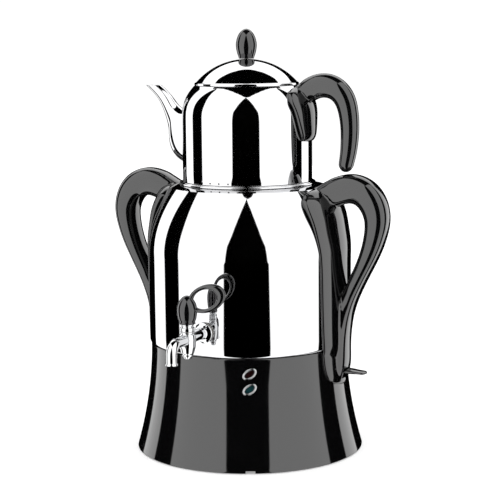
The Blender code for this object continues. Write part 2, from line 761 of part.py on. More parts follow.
def make_plate(finish):
    """Base plate with vents, its four screws and the four rubber feet."""
    plate_radius = (base_radius(0) - BASE_WALL) * (1 - FACET_SHARE) - 2 * CLEARANCE
    plate = piece(
        "base_plate",
        turned([(0, 0), (plate_radius, 0), (plate_radius - CLEARANCE, PLATE_THICKNESS), (0, PLATE_THICKNESS)], PLATE_SIDES),
        finish["dull"],
    )
    for index in range(PLATE_VENTS):
        angle = 2 * math.pi * (index + 0.5) / PLATE_VENTS
        slot = guide(
            f"cut_plate_vent_{index + 1}",
            block(PLATE_VENT_LENGTH, PLATE_VENT_WIDTH, 4 * PLATE_THICKNESS),
            Matrix.Translation(around(angle) * PLATE_VENT_CIRCLE) @ Matrix.Rotation(angle, 4, "Z"),
        )
        cut(plate, slot)
    for index in range(4):
        spot = Matrix.Translation(around(math.pi / 4 + index * math.pi / 2) * POST_CIRCLE)
        head_top = PLATE_THICKNESS - PLATE_SCREW_HEAD / 2
        hole = guide(
            f"cut_plate_screw_{index + 1}",
            turned(
                [
                    (0, -CUT_OVERRUN),
                    (PLATE_SCREW_HEAD_RADIUS + CLEARANCE, -CUT_OVERRUN),
                    (PLATE_SCREW_HEAD_RADIUS + CLEARANCE, head_top - CLEARANCE),
                    (PLATE_SCREW_RADIUS + CLEARANCE, head_top),
                    (PLATE_SCREW_RADIUS + CLEARANCE, PLATE_THICKNESS + CUT_OVERRUN),
                    (0, PLATE_THICKNESS + CUT_OVERRUN),
                ],
                SCREW_SIDES,
            ),
            spot,
        )
        cut(plate, hole)
        seat = head_top - 2 * CLEARANCE
        screw = [
            (0, seat - PLATE_SCREW_HEAD),
            (PLATE_SCREW_HEAD_RADIUS, seat - PLATE_SCREW_HEAD),
            (PLATE_SCREW_HEAD_RADIUS, seat),
            (PLATE_SCREW_RADIUS, seat),
            (PLATE_SCREW_RADIUS, PLATE_THICKNESS + PLATE_SCREW_GRIP),
            (0, PLATE_THICKNESS + PLATE_SCREW_GRIP),
        ]
        piece(f"plate_screw_{index + 1}", turned(screw, SCREW_SIDES), finish["zinc"], spot)
    for index in range(4):
        spot = Matrix.Translation(around(index * math.pi / 2) * FOOT_CIRCLE)
        hole = guide(
            f"cut_foot_hole_{index + 1}",
            round_bar(FOOT_STEM_RADIUS + CLEARANCE, -CUT_OVERRUN, PLATE_THICKNESS + CUT_OVERRUN, SCREW_SIDES),
            spot,
        )
        cut(plate, hole)
        foot = [
            (0, -FOOT_STAND),
            (FOOT_RADIUS * FOOT_TREAD_SHARE, -FOOT_STAND),
            (FOOT_RADIUS, -FOOT_STAND * FOOT_EDGE_SHARE),
            (FOOT_RADIUS, -CLEARANCE),
            (FOOT_STEM_RADIUS, -CLEARANCE),
            (FOOT_STEM_RADIUS, PLATE_THICKNESS + FOOT_STEM_ABOVE),
            (0, PLATE_THICKNESS + FOOT_STEM_ABOVE),
        ]
        piece(f"foot_{index + 1}", turned(foot, SCREW_SIDES), finish["rubber"], spot)


def make_boiler(finish):
    """Boiler wall and floor, the ring that carries the teapot, and the studs that hold the boiler down."""
    outer = boiler_outline() + [(MOUTH_RADIUS, LAND_HEIGHT)]
    inner = inset(boiler_outline(BOILER_INNER_RINGS), BOILER_SHEET)
    inner[0] = (outer[0][0], BOILER_FLOOR + BOILER_SHEET)
    inner[-1] = (LAND_RADIUS, LAND_HEIGHT - BOILER_SHEET)
    inner += [(MOUTH_RADIUS, LAND_HEIGHT - BOILER_SHEET)]
    boiler = piece("boiler", turned(outer + inner[::-1], BODY_SIDES, closed=True), finish["steel"])
    floor = disc(outer[0][0] - 2 * CLEARANCE, BOILER_FLOOR, BOILER_SHEET, BODY_SIDES)
    piece("boiler_floor", floor, finish["steel"])

    bead_top = SEAT_BASE + SEAT_BEAD_HEIGHT
    step_radius = SEAT_BEAD_RADIUS - SEAT_STEP_INSET
    lip_radius = POT_RADIUS - POT_SHEET - 4 * CLEARANCE
    skirt_radius = MOUTH_RADIUS - CLEARANCE
    skirt_inner = skirt_radius - SEAT_SKIRT_WALL
    ring = [
        (skirt_inner, SEAT_BASE - SEAT_SKIRT_DEPTH),
        (skirt_radius, SEAT_BASE - SEAT_SKIRT_DEPTH),
        (skirt_radius, SEAT_BASE),
        (SEAT_BEAD_RADIUS - SEAT_BEAD_ROUND, SEAT_BASE),
        (SEAT_BEAD_RADIUS, SEAT_BASE + SEAT_BEAD_ROUND),
        (SEAT_BEAD_RADIUS, bead_top - SEAT_BEAD_ROUND),
        (SEAT_BEAD_RADIUS - SEAT_BEAD_ROUND, bead_top),
        (step_radius, bead_top),
        (step_radius, SEAT_TOP),
        (lip_radius, SEAT_TOP),
        (lip_radius, SEAT_TOP + SEAT_LIP_HEIGHT),
        (lip_radius - SEAT_LIP_WALL, SEAT_TOP + SEAT_LIP_HEIGHT),
        (skirt_inner, SEAT_TOP - SEAT_LIP_WALL),
    ]
    piece("seat_ring", turned(ring, POT_SIDES, closed=True), finish["steel"])

    deck_under = BASE_HEIGHT - DECK_THICKNESS
    for index in range(3):
        spot = Matrix.Translation(around(math.pi / 2 + index * 2 * math.pi / 3) * STUD_CIRCLE)
        stud_top = BOILER_FLOOR - CLEARANCE
        piece(
            f"boiler_stud_{index + 1}",
            round_bar(STUD_RADIUS, stud_top - STUD_LENGTH, stud_top, SCREW_SIDES),
            finish["zinc"],
            spot,
        )
        nut_top = deck_under - CLEARANCE
        nut = skinned(
            [
                oval(STUD_RADIUS + CLEARANCE, STUD_RADIUS + CLEARANCE, nut_top, NUT_SIDES),
                oval(NUT_RADIUS, NUT_RADIUS, nut_top, NUT_SIDES),
                oval(NUT_RADIUS, NUT_RADIUS, nut_top - NUT_HEIGHT, NUT_SIDES),
                oval(STUD_RADIUS + CLEARANCE, STUD_RADIUS + CLEARANCE, nut_top - NUT_HEIGHT, NUT_SIDES),
            ],
            looped=True,
        )
        piece(f"boiler_nut_{index + 1}", nut, finish["zinc"], spot)
    return boiler


def make_heater(finish):
    """Heat plate, tubular element, thermostat and thermal cut-out under the boiler, and the terminals."""
    plate_top = BOILER_FLOOR - CLEARANCE
    plate_under = plate_top - HEAT_PLATE_THICKNESS
    piece("heat_plate", round_bar(HEAT_PLATE_RADIUS, plate_under, plate_top, PLATE_SIDES), finish["aluminium"])

    centre = plate_under - CLEARANCE - ELEMENT_RADIUS
    first = ELEMENT_GAP_ANGLE / 2
    sweep = 2 * math.pi - ELEMENT_GAP_ANGLE
    turns = [first + sweep * step / ELEMENT_STATIONS for step in range(ELEMENT_STATIONS + 1)]
    ring = [around(turn) * ELEMENT_RING_RADIUS + Vector((0, 0, centre)) for turn in turns]
    leg = Vector((0, 0, -ELEMENT_LEG))
    bend = Vector((0, 0, -ELEMENT_RADIUS))
    path = [ring[0] + leg, ring[0] + 2 * bend] + ring[1:-1] + [ring[-1] + 2 * bend, ring[-1] + leg]
    piece("heating_element", tube(path, [ELEMENT_RADIUS] * len(path), ELEMENT_SIDES), finish["zinc"])

    top = plate_under - CLEARANCE
    piece(
        "thermostat",
        round_bar(THERMOSTAT_RADIUS, top - THERMOSTAT_HEIGHT, top),
        finish["dull"],
    )
    piece(
        "thermal_cutout",
        block(CUTOUT_LENGTH, CUTOUT_WIDTH, CUTOUT_HEIGHT),
        finish["silicone"],
        Matrix.Translation((0, CUTOUT_PLACE, top - CUTOUT_HEIGHT / 2)),
    )
    piece(
        "terminal_block",
        block(TERMINAL_LENGTH, TERMINAL_WIDTH, TERMINAL_HEIGHT),
        finish["silicone"],
        Matrix.Translation((0, TERMINAL_PLACE, PLATE_THICKNESS + CLEARANCE + TERMINAL_HEIGHT / 2)),
    )


def handle_section(place, forward, depth, width, sides=GRIP_SIDES):
    """One rounded section of a handle, square to its centre line in the XZ plane."""
    outward = Vector((-forward.z, 0, forward.x))
    ring = []
    for index in range(sides):
        turn = 2 * math.pi * index / sides
        ring.append(place + outward * depth / 2 * math.cos(turn) + Vector((0, width / 2 * math.sin(turn), 0)))
    return ring


def handle_bar(shares, wall, reach, foot, rise, depth, width):
    """A handle's bar: rounded sections along a centre line given in shares."""
    centres = [Vector((wall + out * reach, 0, foot + up * rise)) for out, up, _, _ in shares]
    rings = []
    for index, (_, _, depth_share, width_share) in enumerate(shares):
        before = centres[max(index - 1, 0)]
        after = centres[min(index + 1, len(centres) - 1)]
        forward = (after - before).normalized()
        rings.append(handle_section(centres[index], forward, depth * depth_share, width * width_share))
    return skinned(rings)


def hugging_pad(shares, radius_at, foot, rise, half_angle, crown, edge):
    """A pad that hugs a round wall: crowned across, with its inner face sunk in the wall to be cut."""
    rings = []
    across = [step / PAD_STEPS for step in range(-PAD_STEPS, PAD_STEPS + 1)]
    for up, angle_share, crown_share, edge_share in shares:
        height = foot + up * rise
        wall = radius_at(height)
        ring = []
        for step in across:
            rise_out = edge * edge_share + (crown * crown_share - edge * edge_share) * (1 - step**2)
            ring.append(around(step * half_angle * angle_share) * (wall + rise_out))
        for step in across[::-2]:
            ring.append(around(step * half_angle * angle_share) * (wall - PAD_SINK))
        rings.append([point + Vector((0, 0, height)) for point in ring])
    return skinned(rings)


def screw_outline(head_radius, head, radius, seat, tip):
    """Half outline of a pan-headed screw whose head lies below its seat."""
    rounding = [(head_radius * wide, seat - head * deep) for wide, deep in SCREW_HEAD_SHARES]
    return [(0, seat - head)] + rounding + [(head_radius, seat), (radius, seat), (radius, tip), (0, tip)]


def radial_screw(name, height, head_radius, head, radius, seat, tip, finish, place=None, parent=None):
    """A screw that points out along +X, with its head inside the wall."""
    profile = screw_outline(head_radius, head, radius, seat, tip)
    spot = Matrix.Translation((0, 0, height)) @ along((1, 0, 0))
    return piece(
        name,
        turned(profile, SCREW_SIDES),
        finish,
        spot if place is None else place @ spot,
        parent,
    )


def make_boiler_handles(finish, boiler, shell):
    """Both boiler handles with their screws; the right-hand one carries the slot of the switch."""
    handles = {}
    for name, turn in (("handle_right", 0.0), ("handle_left", math.pi)):
        place = Matrix.Rotation(turn, 4, "Z")
        handle = piece(
            name,
            hugging_pad(
                PAD_SHARES, wall_radius, HANDLE_FOOT_HEIGHT, HANDLE_RISE, PAD_HALF_ANGLE, PAD_CROWN, PAD_EDGE
            ),
            finish["black"],
            place,
        )
        grip = guide(
            f"join_grip_{name}",
            handle_bar(
                GRIP_SHARES, BOILER_RADIUS, GRIP_REACH, HANDLE_FOOT_HEIGHT, HANDLE_RISE, GRIP_DEPTH, GRIP_WIDTH
            ),
            place,
        )
        join(handle, grip)
        cut(handle, body_envelope(f"cut_wall_{name}", CLEARANCE))
        handles[name] = handle

        upper = HANDLE_FOOT_HEIGHT + HANDLE_SCREW_UP_SHARE * HANDLE_RISE
        lower = BASE_HEIGHT - HANDLE_SCREW_DROP
        for level, height, wall, inner_wall, target in (
            ("upper", upper, shoulder_radius(upper), BOILER_SHEET, boiler),
            ("lower", lower, base_radius(lower), BASE_WALL, shell),
        ):
            seat = wall - inner_wall - CLEARANCE - FACET_SHARE * wall - CLEARANCE
            slope = wall_radius(height - HANDLE_SCREW_HEAD_RADIUS) - wall_radius(height + HANDLE_SCREW_HEAD_RADIUS)
            seat -= abs(slope) / 2
            tip = wall + HANDLE_SCREW_BITE
            radial_screw(
                f"{name}_screw_{level}",
                height,
                HANDLE_SCREW_HEAD_RADIUS,
                HANDLE_SCREW_HEAD,
                HANDLE_SCREW_RADIUS,
                seat,
                tip,
                finish["zinc"],
                place,
            )
            hole = guide(
                f"cut_{name}_{level}",
                round_bar(HANDLE_SCREW_RADIUS + CLEARANCE, seat - CUT_OVERRUN, tip + CLEARANCE, SCREW_SIDES),
                place @ Matrix.Translation((0, 0, height)) @ along((1, 0, 0)),
            )
            cut(handle, hole)
            cut(target, hole)
    return handles


def make_tap(finish, boiler):
    """Tap body with its flange, gaskets, nut and gland, and the plug and key that turn in it."""
    axis = Vector((0, -TAP_AXIS_OUT, TAP_HEIGHT))
    body_place = Matrix.Translation(axis)
    outwards = along((0, -1, 0))
    wall = -TAP_STANDOFF

    gasket_front = wall + CLEARANCE + TAP_GASKET_THICKNESS
    flange_back = gasket_front + CLEARANCE
    flange_front = flange_back + TAP_FLANGE_THICKNESS
    shank_end = wall - BOILER_SHEET - TAP_SHANK_INSIDE
    shank = guide(
        "join_tap_shank",
        turned(
            [
                (0, shank_end),
                (TAP_SHANK_RADIUS, shank_end),
                (TAP_SHANK_RADIUS, flange_back),
            ]
            + [
                (TAP_FLANGE_RADIUS * wide, flange_back + TAP_FLANGE_THICKNESS * deep)
                for wide, deep in TAP_FLANGE_SHARES
            ]
            + [
                (TAP_SHANK_RADIUS, flange_front + TAP_FLANGE_THICKNESS / 2),
                (TAP_SHANK_RADIUS, -TAP_BARREL_RADIUS / 2),
                (0, -TAP_BARREL_RADIUS / 2),
            ],
            SMALL_SIDES,
        ),
        body_place @ outwards,
    )
    barrel = [(0, -TAP_CAP_DROP)]
    barrel += [(TAP_CAP_RADIUS * wide, -TAP_CAP_DROP + TAP_CAP_RADIUS * up) for wide, up in TAP_CAP_SHARES]
    barrel += [(TAP_CAP_RADIUS, -TAP_BARREL_DROP - TAP_CAP_RADIUS / 2)]
    barrel += [(TAP_BARREL_RADIUS * wide, -TAP_BARREL_DROP * down) for wide, down in TAP_BARREL_DROP_SHARES]
    barrel += [(TAP_BARREL_RADIUS * wide, TAP_BARREL_TOP * up) for wide, up in TAP_BARREL_TOP_SHARES]
    barrel += [(0, TAP_BARREL_TOP)]
    half_facet = Matrix.Rotation(math.pi / SMALL_SIDES, 4, "Z")
    tap_body = piece("tap_body", turned(barrel, SMALL_SIDES), finish["chrome"], body_place @ half_facet)

    bend = [Vector((0, -TAP_BARREL_RADIUS / 2, 0)), Vector((0, -NOZZLE_REACH + ELBOW_RADIUS, 0))]
    for step in range(1, ELBOW_STEPS + 1):
        turn = math.pi / 2 * step / ELBOW_STEPS
        bend.append(
            Vector(
                (
                    0,
                    -NOZZLE_REACH + ELBOW_RADIUS * (1 - math.sin(turn)),
                    -ELBOW_RADIUS * (1 - math.cos(turn)),
                )
            )
        )
    passage = [Vector()] + bend[1:] + [Vector((0, -NOZZLE_REACH, -NOZZLE_DROP - CUT_OVERRUN))]
    lip = -NOZZLE_DROP + NOZZLE_LIP_HEIGHT
    ends = [lip + NOZZLE_LIP_HEIGHT, lip, -NOZZLE_DROP]
    bend += [Vector((0, -NOZZLE_REACH, end)) for end in ends]
    radii = [NOZZLE_RADIUS] * (len(bend) - 2) + [NOZZLE_LIP_RADIUS] * 2
    elbow = guide("join_tap_elbow", tube(bend, radii, SMALL_SIDES), body_place)
    join(tap_body, shank, elbow)

    plug_bore = TAP_PLUG_RADIUS + CLEARANCE
    cut(
        tap_body,
        guide(
            "cut_plug_bore",
            round_bar(plug_bore, -TAP_PLUG_DROP - CLEARANCE, TAP_BARREL_TOP + CUT_OVERRUN, SMALL_SIDES),
            body_place,
        ),
        guide(
            "cut_tap_bore",
            round_bar(TAP_BORE_RADIUS, shank_end - CUT_OVERRUN, 0, SCREW_SIDES),
            body_place @ outwards,
        ),
        guide("cut_nozzle_bore", tube(passage, [NOZZLE_BORE_RADIUS] * len(passage), SCREW_SIDES), body_place),
    )

    hole_radius = TAP_SHANK_RADIUS + CLEARANCE
    cut(
        boiler,
        guide(
            "cut_tap_hole",
            round_bar(hole_radius, wall - 6 * BOILER_SHEET, wall + 6 * BOILER_SHEET, SMALL_SIDES),
            body_place @ outwards,
        ),
    )

    gasket_back = wall + CLEARANCE
    nut_reach = TAP_NUT_RADIUS
    flat_inside = BOILER_RADIUS - math.sqrt(BOILER_RADIUS**2 - nut_reach**2) + FACET_SHARE * BOILER_RADIUS
    inner_front = wall - BOILER_SHEET - flat_inside - CLEARANCE
    inner_back = inner_front - TAP_GASKET_THICKNESS
    for name, low, high, radius, colour in (
        ("tap_gasket_outer", gasket_back, gasket_front, TAP_FLANGE_RADIUS * GASKET_SHARE, "silicone"),
        ("tap_gasket_inner", inner_back, inner_front, TAP_NUT_RADIUS, "silicone"),
        ("tap_nut", inner_back - CLEARANCE - TAP_NUT_THICKNESS, inner_back - CLEARANCE, TAP_NUT_RADIUS, "brass"),
    ):
        sides = 6 if name == "tap_nut" else SMALL_SIDES
        washer = skinned(
            [
                oval(hole_radius, hole_radius, low, SMALL_SIDES),
                oval(radius, radius, low, SMALL_SIDES),
                oval(radius, radius, high, SMALL_SIDES),
                oval(hole_radius, hole_radius, high, SMALL_SIDES),
            ],
            looped=True,
        )
        made = piece(name, washer, finish[colour], body_place @ outwards)
        if sides == 6:
            flats = guide("cut_nut_flats", hexagon_cutter(radius, low, high), body_place @ outwards)
            cut(made, flats)

    gland_low = TAP_BARREL_TOP + CLEARANCE
    gland_high = gland_low + TAP_GLAND_HEIGHT
    gland = [
        (TAP_BARREL_RADIUS * wide, gland_low + TAP_GLAND_HEIGHT * up) for wide, up in TAP_GLAND_SHARES
    ]
    gland = [(plug_bore, gland_low)] + gland + [(plug_bore, gland_high)]
    piece("tap_gland", turned(gland, SMALL_SIDES, closed=True), finish["chrome"], body_place)

    key_axis = pivot("tap_key_axis", axis)
    plug = piece(
        "tap_plug",
        round_bar(TAP_PLUG_RADIUS, -TAP_PLUG_DROP, TAP_PLUG_RISE, SMALL_SIDES),
        finish["brass"],
        Matrix(),
        key_axis,
    )
    cut(
        plug,
        guide(
            "cut_plug_way",
            round_bar(TAP_BORE_RADIUS, -2 * TAP_PLUG_RADIUS, 2 * TAP_PLUG_RADIUS, SCREW_SIDES),
            along(around(0)),
            key_axis,
        ),
    )
    make_key(finish, key_axis, gland_high + CLEARANCE)


def hexagon_cutter(radius, low, high):
    """A thick ring whose hexagonal inside leaves a nut's six flats."""
    flat = radius * math.cos(math.pi / 6) * NUT_FLAT_SHARE
    ring_low = low - CUT_OVERRUN
    ring_high = high + CUT_OVERRUN
    far = radius + CUT_OVERRUN
    inner = flat / math.cos(math.pi / 6)
    return skinned(
        [
            oval(inner, inner, ring_low, 6),
            oval(far, far, ring_low, 6),
            oval(far, far, ring_high, 6),
            oval(inner, inner, ring_high, 6),
        ],
        looped=True,
    )


def make_key(finish, key_axis, foot):
    """Egg-shaped key of the tap with the oval ring that turns it."""
    egg = [(0, foot)] + [(KEY_RADIUS * wide, foot + KEY_HEIGHT * up) for wide, up in EGG_SHARES]
    key = piece("tap_key", turned(egg, SMALL_SIDES), finish["black"], Matrix(), key_axis)

    middle = Vector((KEY_RING_REACH, 0, foot + KEY_RING_RISE))
    lean = Matrix.Rotation(-KEY_RING_TILT, 4, "Y")
    half_long = KEY_RING_LENGTH / 2
    half_tall = KEY_RING_HEIGHT / 2
    rings = []
    for station in range(KEY_RING_STATIONS):
        turn = 2 * math.pi * station / KEY_RING_STATIONS
        outer = Vector((half_long * math.cos(turn), 0, half_tall * math.sin(turn)))
        inner_half = half_long - (KEY_RING_NEAR_BAND + KEY_RING_FAR_BAND) / 2
        inner_shift = (KEY_RING_NEAR_BAND - KEY_RING_FAR_BAND) / 2
        inner = Vector(
            (
                inner_shift + inner_half * math.cos(turn),
                0,
                (half_tall - KEY_RING_SIDE_BAND) * math.sin(turn),
            )
        )
        centre = (outer + inner) / 2
        radial = (outer - inner) / 2
        section = []
        for step in range(RING_BAND_SIDES):
            angle = 2 * math.pi * step / RING_BAND_SIDES
            across = Vector((0, KEY_RING_THICKNESS / 2 * math.sin(angle), 0))
            section.append(middle + lean @ (centre + radial * math.cos(angle) + across))
        rings.append(section)
    turn_to_rest = Matrix.Rotation(KEY_REST_ANGLE, 4, "Z")
    ring = guide("join_key_ring", skinned(rings, looped=True), turn_to_rest, key_axis)
    join(key, ring)
    cut(
        key,
        guide(
            "cut_key_socket",
            round_bar(TAP_PLUG_RADIUS + CLEARANCE, foot - CUT_OVERRUN, TAP_PLUG_RISE + CLEARANCE, SMALL_SIDES),
            Matrix(),
            key_axis,
        ),
    )


def make_lamps(finish, shell, panel_angle):
    """Two tilted oval lamps in the front of the base, and the holder behind them."""
    for place_name, height, colour in zip(("upper", "lower"), LAMP_HEIGHTS, ("amber", "green")):
        place = wall_place(panel_angle, height, LAMP_TILT)
        barrel_long = LAMP_LONG - LAMP_BARREL_INSET
        barrel_short = LAMP_SHORT - LAMP_BARREL_INSET
        hole_long = LAMP_LONG - LAMP_RIM
        hole_short = LAMP_SHORT - LAMP_RIM
        seat = 2 * CLEARANCE
        back = -LAMP_DEPTH
        rim = skinned(
            [
                oval(hole_long, hole_short, back),
                oval(barrel_long, barrel_short, back),
                oval(barrel_long, barrel_short, seat),
                oval(LAMP_LONG, LAMP_SHORT, seat),
                oval(LAMP_LONG - LAMP_BARREL_INSET / 3, LAMP_SHORT - LAMP_BARREL_INSET / 3, LAMP_PROUD),
                oval(hole_long, hole_short, LAMP_PROUD - CLEARANCE),
            ],
            looped=True,
        )
        piece(f"lamp_rim_{place_name}", rim, finish["chrome"], place)
        cut(
            shell,
            guide(
                f"cut_lamp_{place_name}",
                skinned(
                    [
                        oval(barrel_long + CLEARANCE, barrel_short + CLEARANCE, back),
                        oval(barrel_long + CLEARANCE, barrel_short + CLEARANCE, CUT_OVERRUN),
                    ]
                ),
                place,
            ),
        )
        lens_long = hole_long - CLEARANCE
        lens_short = hole_short - CLEARANCE
        lens = skinned(
            [
                oval(lens_long, lens_short, back),
                oval(lens_long, lens_short, 0),
                oval(lens_long * LAMP_LENS_FACE_SHARE, lens_short * LAMP_LENS_FACE_SHARE, LAMP_LENS_PROUD),
            ]
        )
        piece(f"lamp_lens_{place_name}", lens, finish[colour], place)

    middle = (LAMP_HEIGHTS[0] + LAMP_HEIGHTS[1]) / 2
    radius = base_radius(middle) - LAMP_DEPTH - 2 * CLEARANCE - LAMP_HOLDER_DEPTH / 2
    piece(
        "lamp_holder",
        block(LAMP_HOLDER_WIDTH, LAMP_HOLDER_HEIGHT, LAMP_HOLDER_DEPTH),
        finish["dull"],
        wall_place(panel_angle, middle) @ Matrix.Translation((0, 0, radius - base_radius(middle))),
    )


def make_switch(finish, shell, handle):
    """On/off paddle on its pin in a housing behind the handle's foot."""
    inner = base_radius(SWITCH_HEIGHT) - BASE_WALL
    half = SWITCH_HOUSING_WIDTH / 2
    front = math.sqrt(inner**2 - half**2) - FACET_SHARE * inner - CLEARANCE
    upper_inner = base_radius(SWITCH_HEIGHT + SWITCH_HOUSING_HEIGHT / 2) - BASE_WALL
    front -= inner - upper_inner
    housing_place = Matrix.Translation((front - SWITCH_HOUSING_DEPTH / 2, 0, SWITCH_HEIGHT))
    housing = piece(
        "switch_housing",
        block(SWITCH_HOUSING_DEPTH, SWITCH_HOUSING_WIDTH, SWITCH_HOUSING_HEIGHT),
        finish["dull"],
        housing_place,
    )
    wall = SWITCH_HOUSING_WALL
    hollow = block(
        SWITCH_HOUSING_DEPTH,
        SWITCH_HOUSING_WIDTH - 2 * wall,
        SWITCH_HOUSING_HEIGHT - 2 * wall,
    )
    cut(housing, guide("cut_switch_hollow", hollow, housing_place @ Matrix.Translation((wall, 0, 0))))

    pivot_x = front - SWITCH_PIVOT_INSET
    pin_place = Matrix.Translation((pivot_x, 0, SWITCH_HEIGHT)) @ along((0, 1, 0))
    pin_half = half - CLEARANCE
    pin_hole = round_bar(SWITCH_PIN_RADIUS + CLEARANCE, -half - CUT_OVERRUN, half + CUT_OVERRUN, SCREW_SIDES)
    pin_cutter = guide("cut_switch_pin", pin_hole, pin_place)
    cut(housing, pin_cutter)
    piece("switch_pin", round_bar(SWITCH_PIN_RADIUS, -pin_half, pin_half, SCREW_SIDES), finish["zinc"], pin_place)

    axis = pivot("switch_axis", (pivot_x, 0, SWITCH_HEIGHT))
    tip = BOILER_RADIUS + SWITCH_REACH - pivot_x
    length = tip + SWITCH_TAIL
    rings = []
    for along_share, wide, thick, droop in PADDLE_SHARES:
        ring = []
        for point in oval(SWITCH_HALF_WIDTH * wide, SWITCH_HALF_THICKNESS * thick, 0, PADDLE_SIDES):
            ring.append(
                Vector(
                    (
                        -SWITCH_TAIL + length * along_share,
                        point.x,
                        point.y - SWITCH_DROOP * droop,
                    )
                )
            )
        rings.append(ring)
    paddle = piece("switch_paddle", skinned(rings), finish["black"], Matrix(), axis)
    cut(paddle, pin_cutter)

    slot_start = front + CLEARANCE
    slot_end = tip + pivot_x
    slot = guide(
        "cut_switch_slot",
        block(slot_end - slot_start, SWITCH_SLOT_WIDTH, SWITCH_SLOT_HEIGHT),
        Matrix.Translation(((slot_start + slot_end) / 2, 0, SWITCH_HEIGHT - SWITCH_SLOT_DROP)),
    )
    cut(shell, slot)
    cut(handle, slot)


def make_inlet(finish, shell):
    """Power inlet at the back of the base, with its three pins."""
    face = base_radius(INLET_HEIGHT) + INLET_PROUD
    place = Matrix.Translation((0, face - INLET_DEPTH / 2, INLET_HEIGHT))
    socket = piece("inlet_socket", block(INLET_WIDTH, INLET_DEPTH, INLET_TALL), finish["dull"], place)
    recess = block(INLET_WIDTH - 2 * INLET_WALL, 2 * INLET_RECESS, INLET_TALL - 2 * INLET_WALL)
    cut(socket, guide("cut_inlet_recess", recess, Matrix.Translation((0, face, INLET_HEIGHT))))
    opening = block(INLET_WIDTH + 2 * CLEARANCE, INLET_DEPTH, INLET_TALL + 2 * CLEARANCE)
    cut(shell, guide("cut_inlet_opening", opening, place))

    floor = face - INLET_RECESS
    for name, side, lift in (("line", -1, -1), ("neutral", 1, -1), ("earth", 0, 1)):
        piece(
            f"inlet_pin_{name}",
            block(INLET_PIN_WIDTH, INLET_PIN_LENGTH, INLET_PIN_TALL),
            finish["brass"],
            Matrix.Translation(
                (
                    side * INLET_PIN_SPREAD,
                    floor + CLEARANCE + INLET_PIN_LENGTH / 2,
                    INLET_HEIGHT + lift * INLET_PIN_LIFT,
                )
            ),
        )


def make_pot(finish):
    """Teapot body, spout and hook handle, all carried by the empty on the seat."""
    seat = pivot("teapot_seat", (0, 0, POT_BASE))
    outer = [(POT_RADIUS, 0), (POT_RADIUS, POT_WALL_HEIGHT)]
    outer += [(pot_radius(height), height) for height in heights(POT_WALL_HEIGHT, POT_RIM, POT_RINGS)[1:]]
    inner = inset(outer, POT_SHEET)
    profile = [inner[0]] + outer
    profile += [(POT_MOUTH_RADIUS, POT_RIM), (POT_MOUTH_RADIUS, POT_RIM - POT_SHEET)]
    profile += [(inner[-1][0], POT_RIM - POT_SHEET)]
    profile += inner[-2:0:-1]
    pot = piece("teapot_body", turned(profile, POT_SIDES, closed=True), finish["steel"], Matrix(), seat)
    floor = disc(inner[0][0] - 2 * CLEARANCE, POT_SKIRT_HEIGHT, POT_SHEET, POT_SIDES)
    piece("teapot_floor", floor, finish["steel"], Matrix(), seat)

    count = 0
    for group in range(POT_VENT_GROUPS):
        for step in range(POT_VENTS_IN_GROUP):
            middle = (POT_VENTS_IN_GROUP - 1) / 2
            angle = -math.pi / 2 + group * 2 * math.pi / POT_VENT_GROUPS + (step - middle) * POT_VENT_SPACING
            count += 1
            vent = guide(
                f"cut_vent_{count}",
                round_bar(POT_VENT_RADIUS, POT_RADIUS - 4 * POT_SHEET, POT_RADIUS + 4 * POT_SHEET, 6),
                Matrix.Translation((0, 0, POT_VENT_HEIGHT)) @ along(around(angle)),
                seat,
            )
            cut(pot, vent)

    spout_middle = SPOUT_FOOT_HEIGHT + SPOUT_RISE * STRAINER_RISE_SHARE
    for row in range(STRAINER_ROWS):
        for column in range(STRAINER_ROWS):
            side = (column - (STRAINER_ROWS - 1) / 2) * STRAINER_PITCH
            height = spout_middle + (row - (STRAINER_ROWS - 1) / 2) * STRAINER_PITCH
            hole = guide(
                f"cut_strainer_{row + 1}_{column + 1}",
                round_bar(STRAINER_HOLE_RADIUS, POT_RADIUS - 5 * POT_SHEET, POT_RADIUS + 3 * POT_SHEET, 6),
                Matrix.Translation((0, side, height)) @ along((-1, 0, 0)),
                seat,
            )
            cut(pot, hole)

    make_spout(finish, seat)
    make_hook(finish, seat, pot)
    return seat


def spout_rings(wall):
    """Sections of the spout, drawn in by a wall; each is an oval through its lower and upper point."""
    rings = []
    for low_out, low_up, high_out, high_up, width in SPOUT_SHARES:
        lower = Vector((-POT_RADIUS - low_out * SPOUT_REACH, 0, SPOUT_FOOT_HEIGHT + low_up * SPOUT_RISE))
        upper = Vector((-POT_RADIUS - high_out * SPOUT_REACH, 0, SPOUT_FOOT_HEIGHT + high_up * SPOUT_RISE))
        half = (upper - lower) / 2
        middle = (upper + lower) / 2
        reach = half.normalized() * (half.length - wall)
        side = SPOUT_HALF_WIDTH * width - wall
        ring = []
        for index in range(SMALL_SIDES):
            turn = 2 * math.pi * index / SMALL_SIDES
            ring.append(middle + reach * math.cos(turn) + Vector((0, side * math.sin(turn), 0)))
        rings.append(ring)
    return rings


def make_spout(finish, seat):
    """Goose-neck spout, open from the strainer to its level mouth."""
    spout = piece("teapot_spout", skinned(spout_rings(0)), finish["steel"], Matrix(), seat)
    inner = spout_rings(SPOUT_SHEET)
    first_step = (inner[0][0] - inner[1][0]).normalized() * CUT_OVERRUN
    last_step = Vector((0, 0, CUT_OVERRUN))
    inner = [[point + first_step for point in inner[0]]] + inner[1:]
    inner.append([point + last_step for point in inner[-1]])
    cut(spout, guide("cut_spout_bore", skinned(inner), Matrix(), seat))
    cut(spout, pot_envelope("cut_spout_root", seat))


